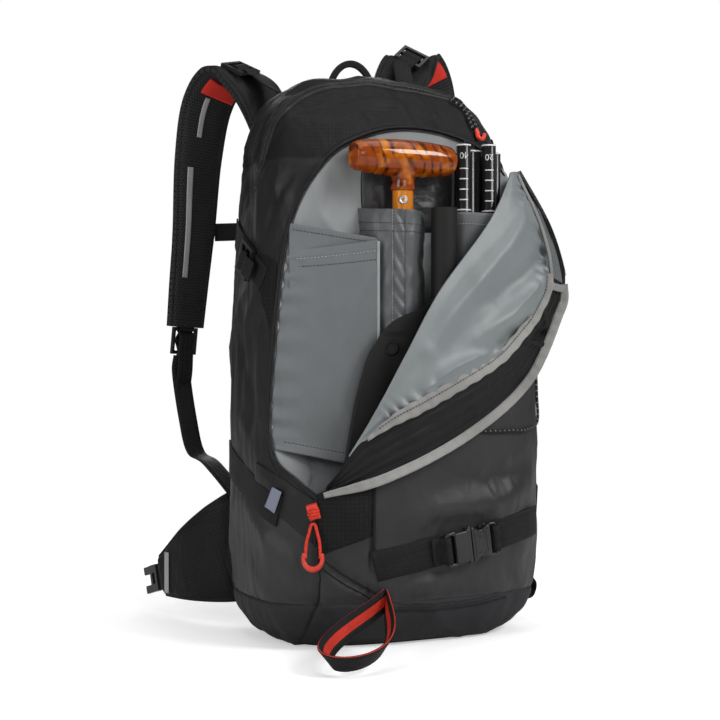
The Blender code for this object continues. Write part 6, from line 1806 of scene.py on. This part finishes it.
# The loops: a ski loop of doubled tape, black outside and red inside, a tool loop at the right of the base,
# and an elastic cord laced up the right side.
red_webbing = webbing_paint("red_webbing", (0.640, 0.040, 0.022))
red_plastic = plastic_paint("red_plastic", (0.680, 0.045, 0.022), 0.34)
foot = np.array((-0.050, skin_y(-0.050, 0.052, -1) - 0.0045, 0.052))
angle = 2 * math.pi * (np.linspace(0.0, 22.0, 120) + 0.35) / 22.7
share = 0.5 * (1.0 - np.cos(angle))
line = foot + share[:, None] * np.array((-0.086, -0.086, 0.0))
line = line + (0.036 * np.sin(angle) * share**0.75)[:, None] * ACROSS
line[:, 2] = 0.052 + (0.0115 - 0.052) * share**0.8
tangent = unit(np.gradient(line, axis=0))
face = unit(np.cross(tangent, UP))
lean = (-0.75 * share**0.7)[:, None]
face = face * np.cos(lean) + np.cross(tangent, face) * np.sin(lean)
top = [(-1.0, 0.35), (-0.96, 1.0), (-0.40, 1.0), (0.0, 1.0), (0.40, 1.0), (0.96, 1.0), (1.0, 0.35)]
tape_section = top + [(a, -b) for a, b in top[::-1]]
tape_bands = np.zeros(14)
tape_bands[[2, 3, 13]] = 1
loop = band_piece("ski_loop_tape", line, face, 0.020, 0.0026, tape_section, tape_bands)
loop.data.materials.append(black_webbing)
loop.data.materials.append(red_webbing)
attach(loop, "ski_loop")
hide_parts("ski_loop")
root = np.array((skin_x(-0.004, 0.052, 1) + 0.0010, -0.004, 0.052))
shape = [(0.0, 0.0), (12.0, -3.0), (24.0, -14.0), (21.0, -27.0), (12.0, -29.0), (7.8, -18.0), (3.0, -6.0)]
line = through([root + 0.001 * np.array((x, 0.0, z)) for x, z in shape], 10)
loop = band_piece("tool_loop_tape", line, np.cross(np.gradient(line, axis=0), (0.0, 1.0, 0.0)), 0.022, TAPE)
wear(loop, black_webbing, "tool_loop", "tool_loop", slot="webbing_black")


def cord_paint(name, colour, fleck):
    """Braided cord with pale flecks woven in."""
    paint, start = new_paint(name)
    flat = start.node("UVMap", uv_map="weave")
    across, along = flat.part(0), flat.part(1)
    braid = ((across * 2600.0).sin() * (along * 2200.0).sin())
    spots = ((along / 0.0060).fraction() - 0.5).size().spread(0.12, 0.06)
    spots = spots * (across * 700.0).sin().spread(0.2, 0.6)
    shade = spots.blend((braid * 0.5 + 0.5).blend(tint(colour, 0.7), tint(colour, 1.2)), tint(fleck))
    normal = start.node("Bump", {"Strength": 0.5, "Distance": 0.0003, "Height": braid})
    finish_paint(start, shade, braid * 0.05 + 0.6, normal, Specular_IOR_Level=0.2)
    return paint


flecked_cord = cord_paint("flecked_cord", (0.012, 0.012, 0.013), (0.30, 0.30, 0.30))
red_cord = cord_paint("red_cord", (0.640, 0.040, 0.022), (0.700, 0.060, 0.035))
points = ((-0.060, 0.300), (-0.064, 0.270), (-0.068, 0.240), (-0.072, 0.212))
points = [(skin_x(y, z, 1) + 0.0027, y, z) for y, z in points]
points += [(x, skin_y(x, 0.205, -1) - 0.0027, 0.205) for x in (0.112, 0.095, 0.078, 0.060, 0.042)]
line = evenly(through(points, 10), 110)
lace = round_piece("side_cord_lace", line, 0.0015, 8)
wear(lace, flecked_cord, "pack", "side_cord", slot="webbing_black")
length_of(line)


# The compartment's slider and its pull: a moulded red slider, a red cord tied through it, and a moulded end.
start_at = on_opening([(-0.068, 0.134)])[0]
normal = skin_normal(start_at)
top = start_at + normal * 0.0052 - UP * 0.0095
down = unit(normal * 0.10 - UP)
side = unit(np.cross(normal, down))
legs = [(-0.0070, 0.0340), (-0.0062, 0.0200), (-0.0036, 0.0092), (-0.0026, 0.0050), (-0.0017, 0.0029)]
legs = legs + [(0.0, 0.0020)] + [(-a, b) for a, b in legs[::-1]]
line = evenly(through([top + side * a + down * b for a, b in legs], 10), 70)
pull = round_piece("pull_cord", line, 0.0015, 8)
wear(pull, red_cord, "zip_pull", "zip_pull", slot="pull_red")
pull_path = line
turn = np.linspace(-0.15 * math.pi, 1.15 * math.pi, 40)
line = top + down * (0.0340 + 0.0100 * np.sin(turn)[:, None]) + side * (0.0088 * np.cos(turn)[:, None])
end_piece = round_piece("pull_end", line, 0.0024 - 0.0004 * np.cos(2 * turn), 12)
wear(end_piece, red_plastic, "zip_pull", slot="pull_red")
length_of(pull_path)
wind = np.linspace(0.0, 1.0, 120)
spin, spread_out = wind * 2 * math.pi * 3.5, 0.0046 - 0.0014 * np.abs(2 * wind - 1) ** 2
line = top - down * (0.0130 - 0.0095 * wind)[:, None] - normal * 0.0008
line = line + side * (spread_out * np.cos(spin))[:, None] + normal * (spread_out * np.sin(spin))[:, None]
knot = round_piece("slider_knot", line, 0.0016, 8)
wear(knot, red_cord, "zip_slider", slot="pull_red")

# Main zip's pulls at the right of the top: a flecked cord with a red end, and a thinner bare one beside it
hang = [(450, 101), (460, 109), (468, 119), (474, 129), (478, 138)]
cord_line = seen_line(hang, 0.0030, 60)
cord = wear(round_piece("main_pull_cord", cord_line, 0.0019, 8), flecked_cord, "pack", slot="webbing_black")
hang = [(474, 133), (476, 139), (480, 141), (482, 137)]
bead = round_piece("main_pull_end", seen_line(hang, 0.0036, 40), 0.0023, 10)
wear(bead, red_plastic, "pack", slot="pull_red")
length_of(cord_line)
hang = [(448, 103), (458, 112), (466, 122), (471, 132)]
cord_line = seen_line(hang, 0.0034, 60)
cord = round_piece("main_pull_cord_two", cord_line, 0.0016, 8)
wear(cord, flecked_cord, "pack", slot="webbing_black")
length_of(cord_line)

# Hard pieces of the frame that stay as they are: buckles in moulded black plastic, and the red slider
for name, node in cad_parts.items():
    if node.hide_render:
        continue
    node.data.materials.clear()
    node.data.materials.append(red_plastic if name == "zip_slider" else buckle_black)


# The model's size: the bounds of its shown pieces.
low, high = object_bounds()
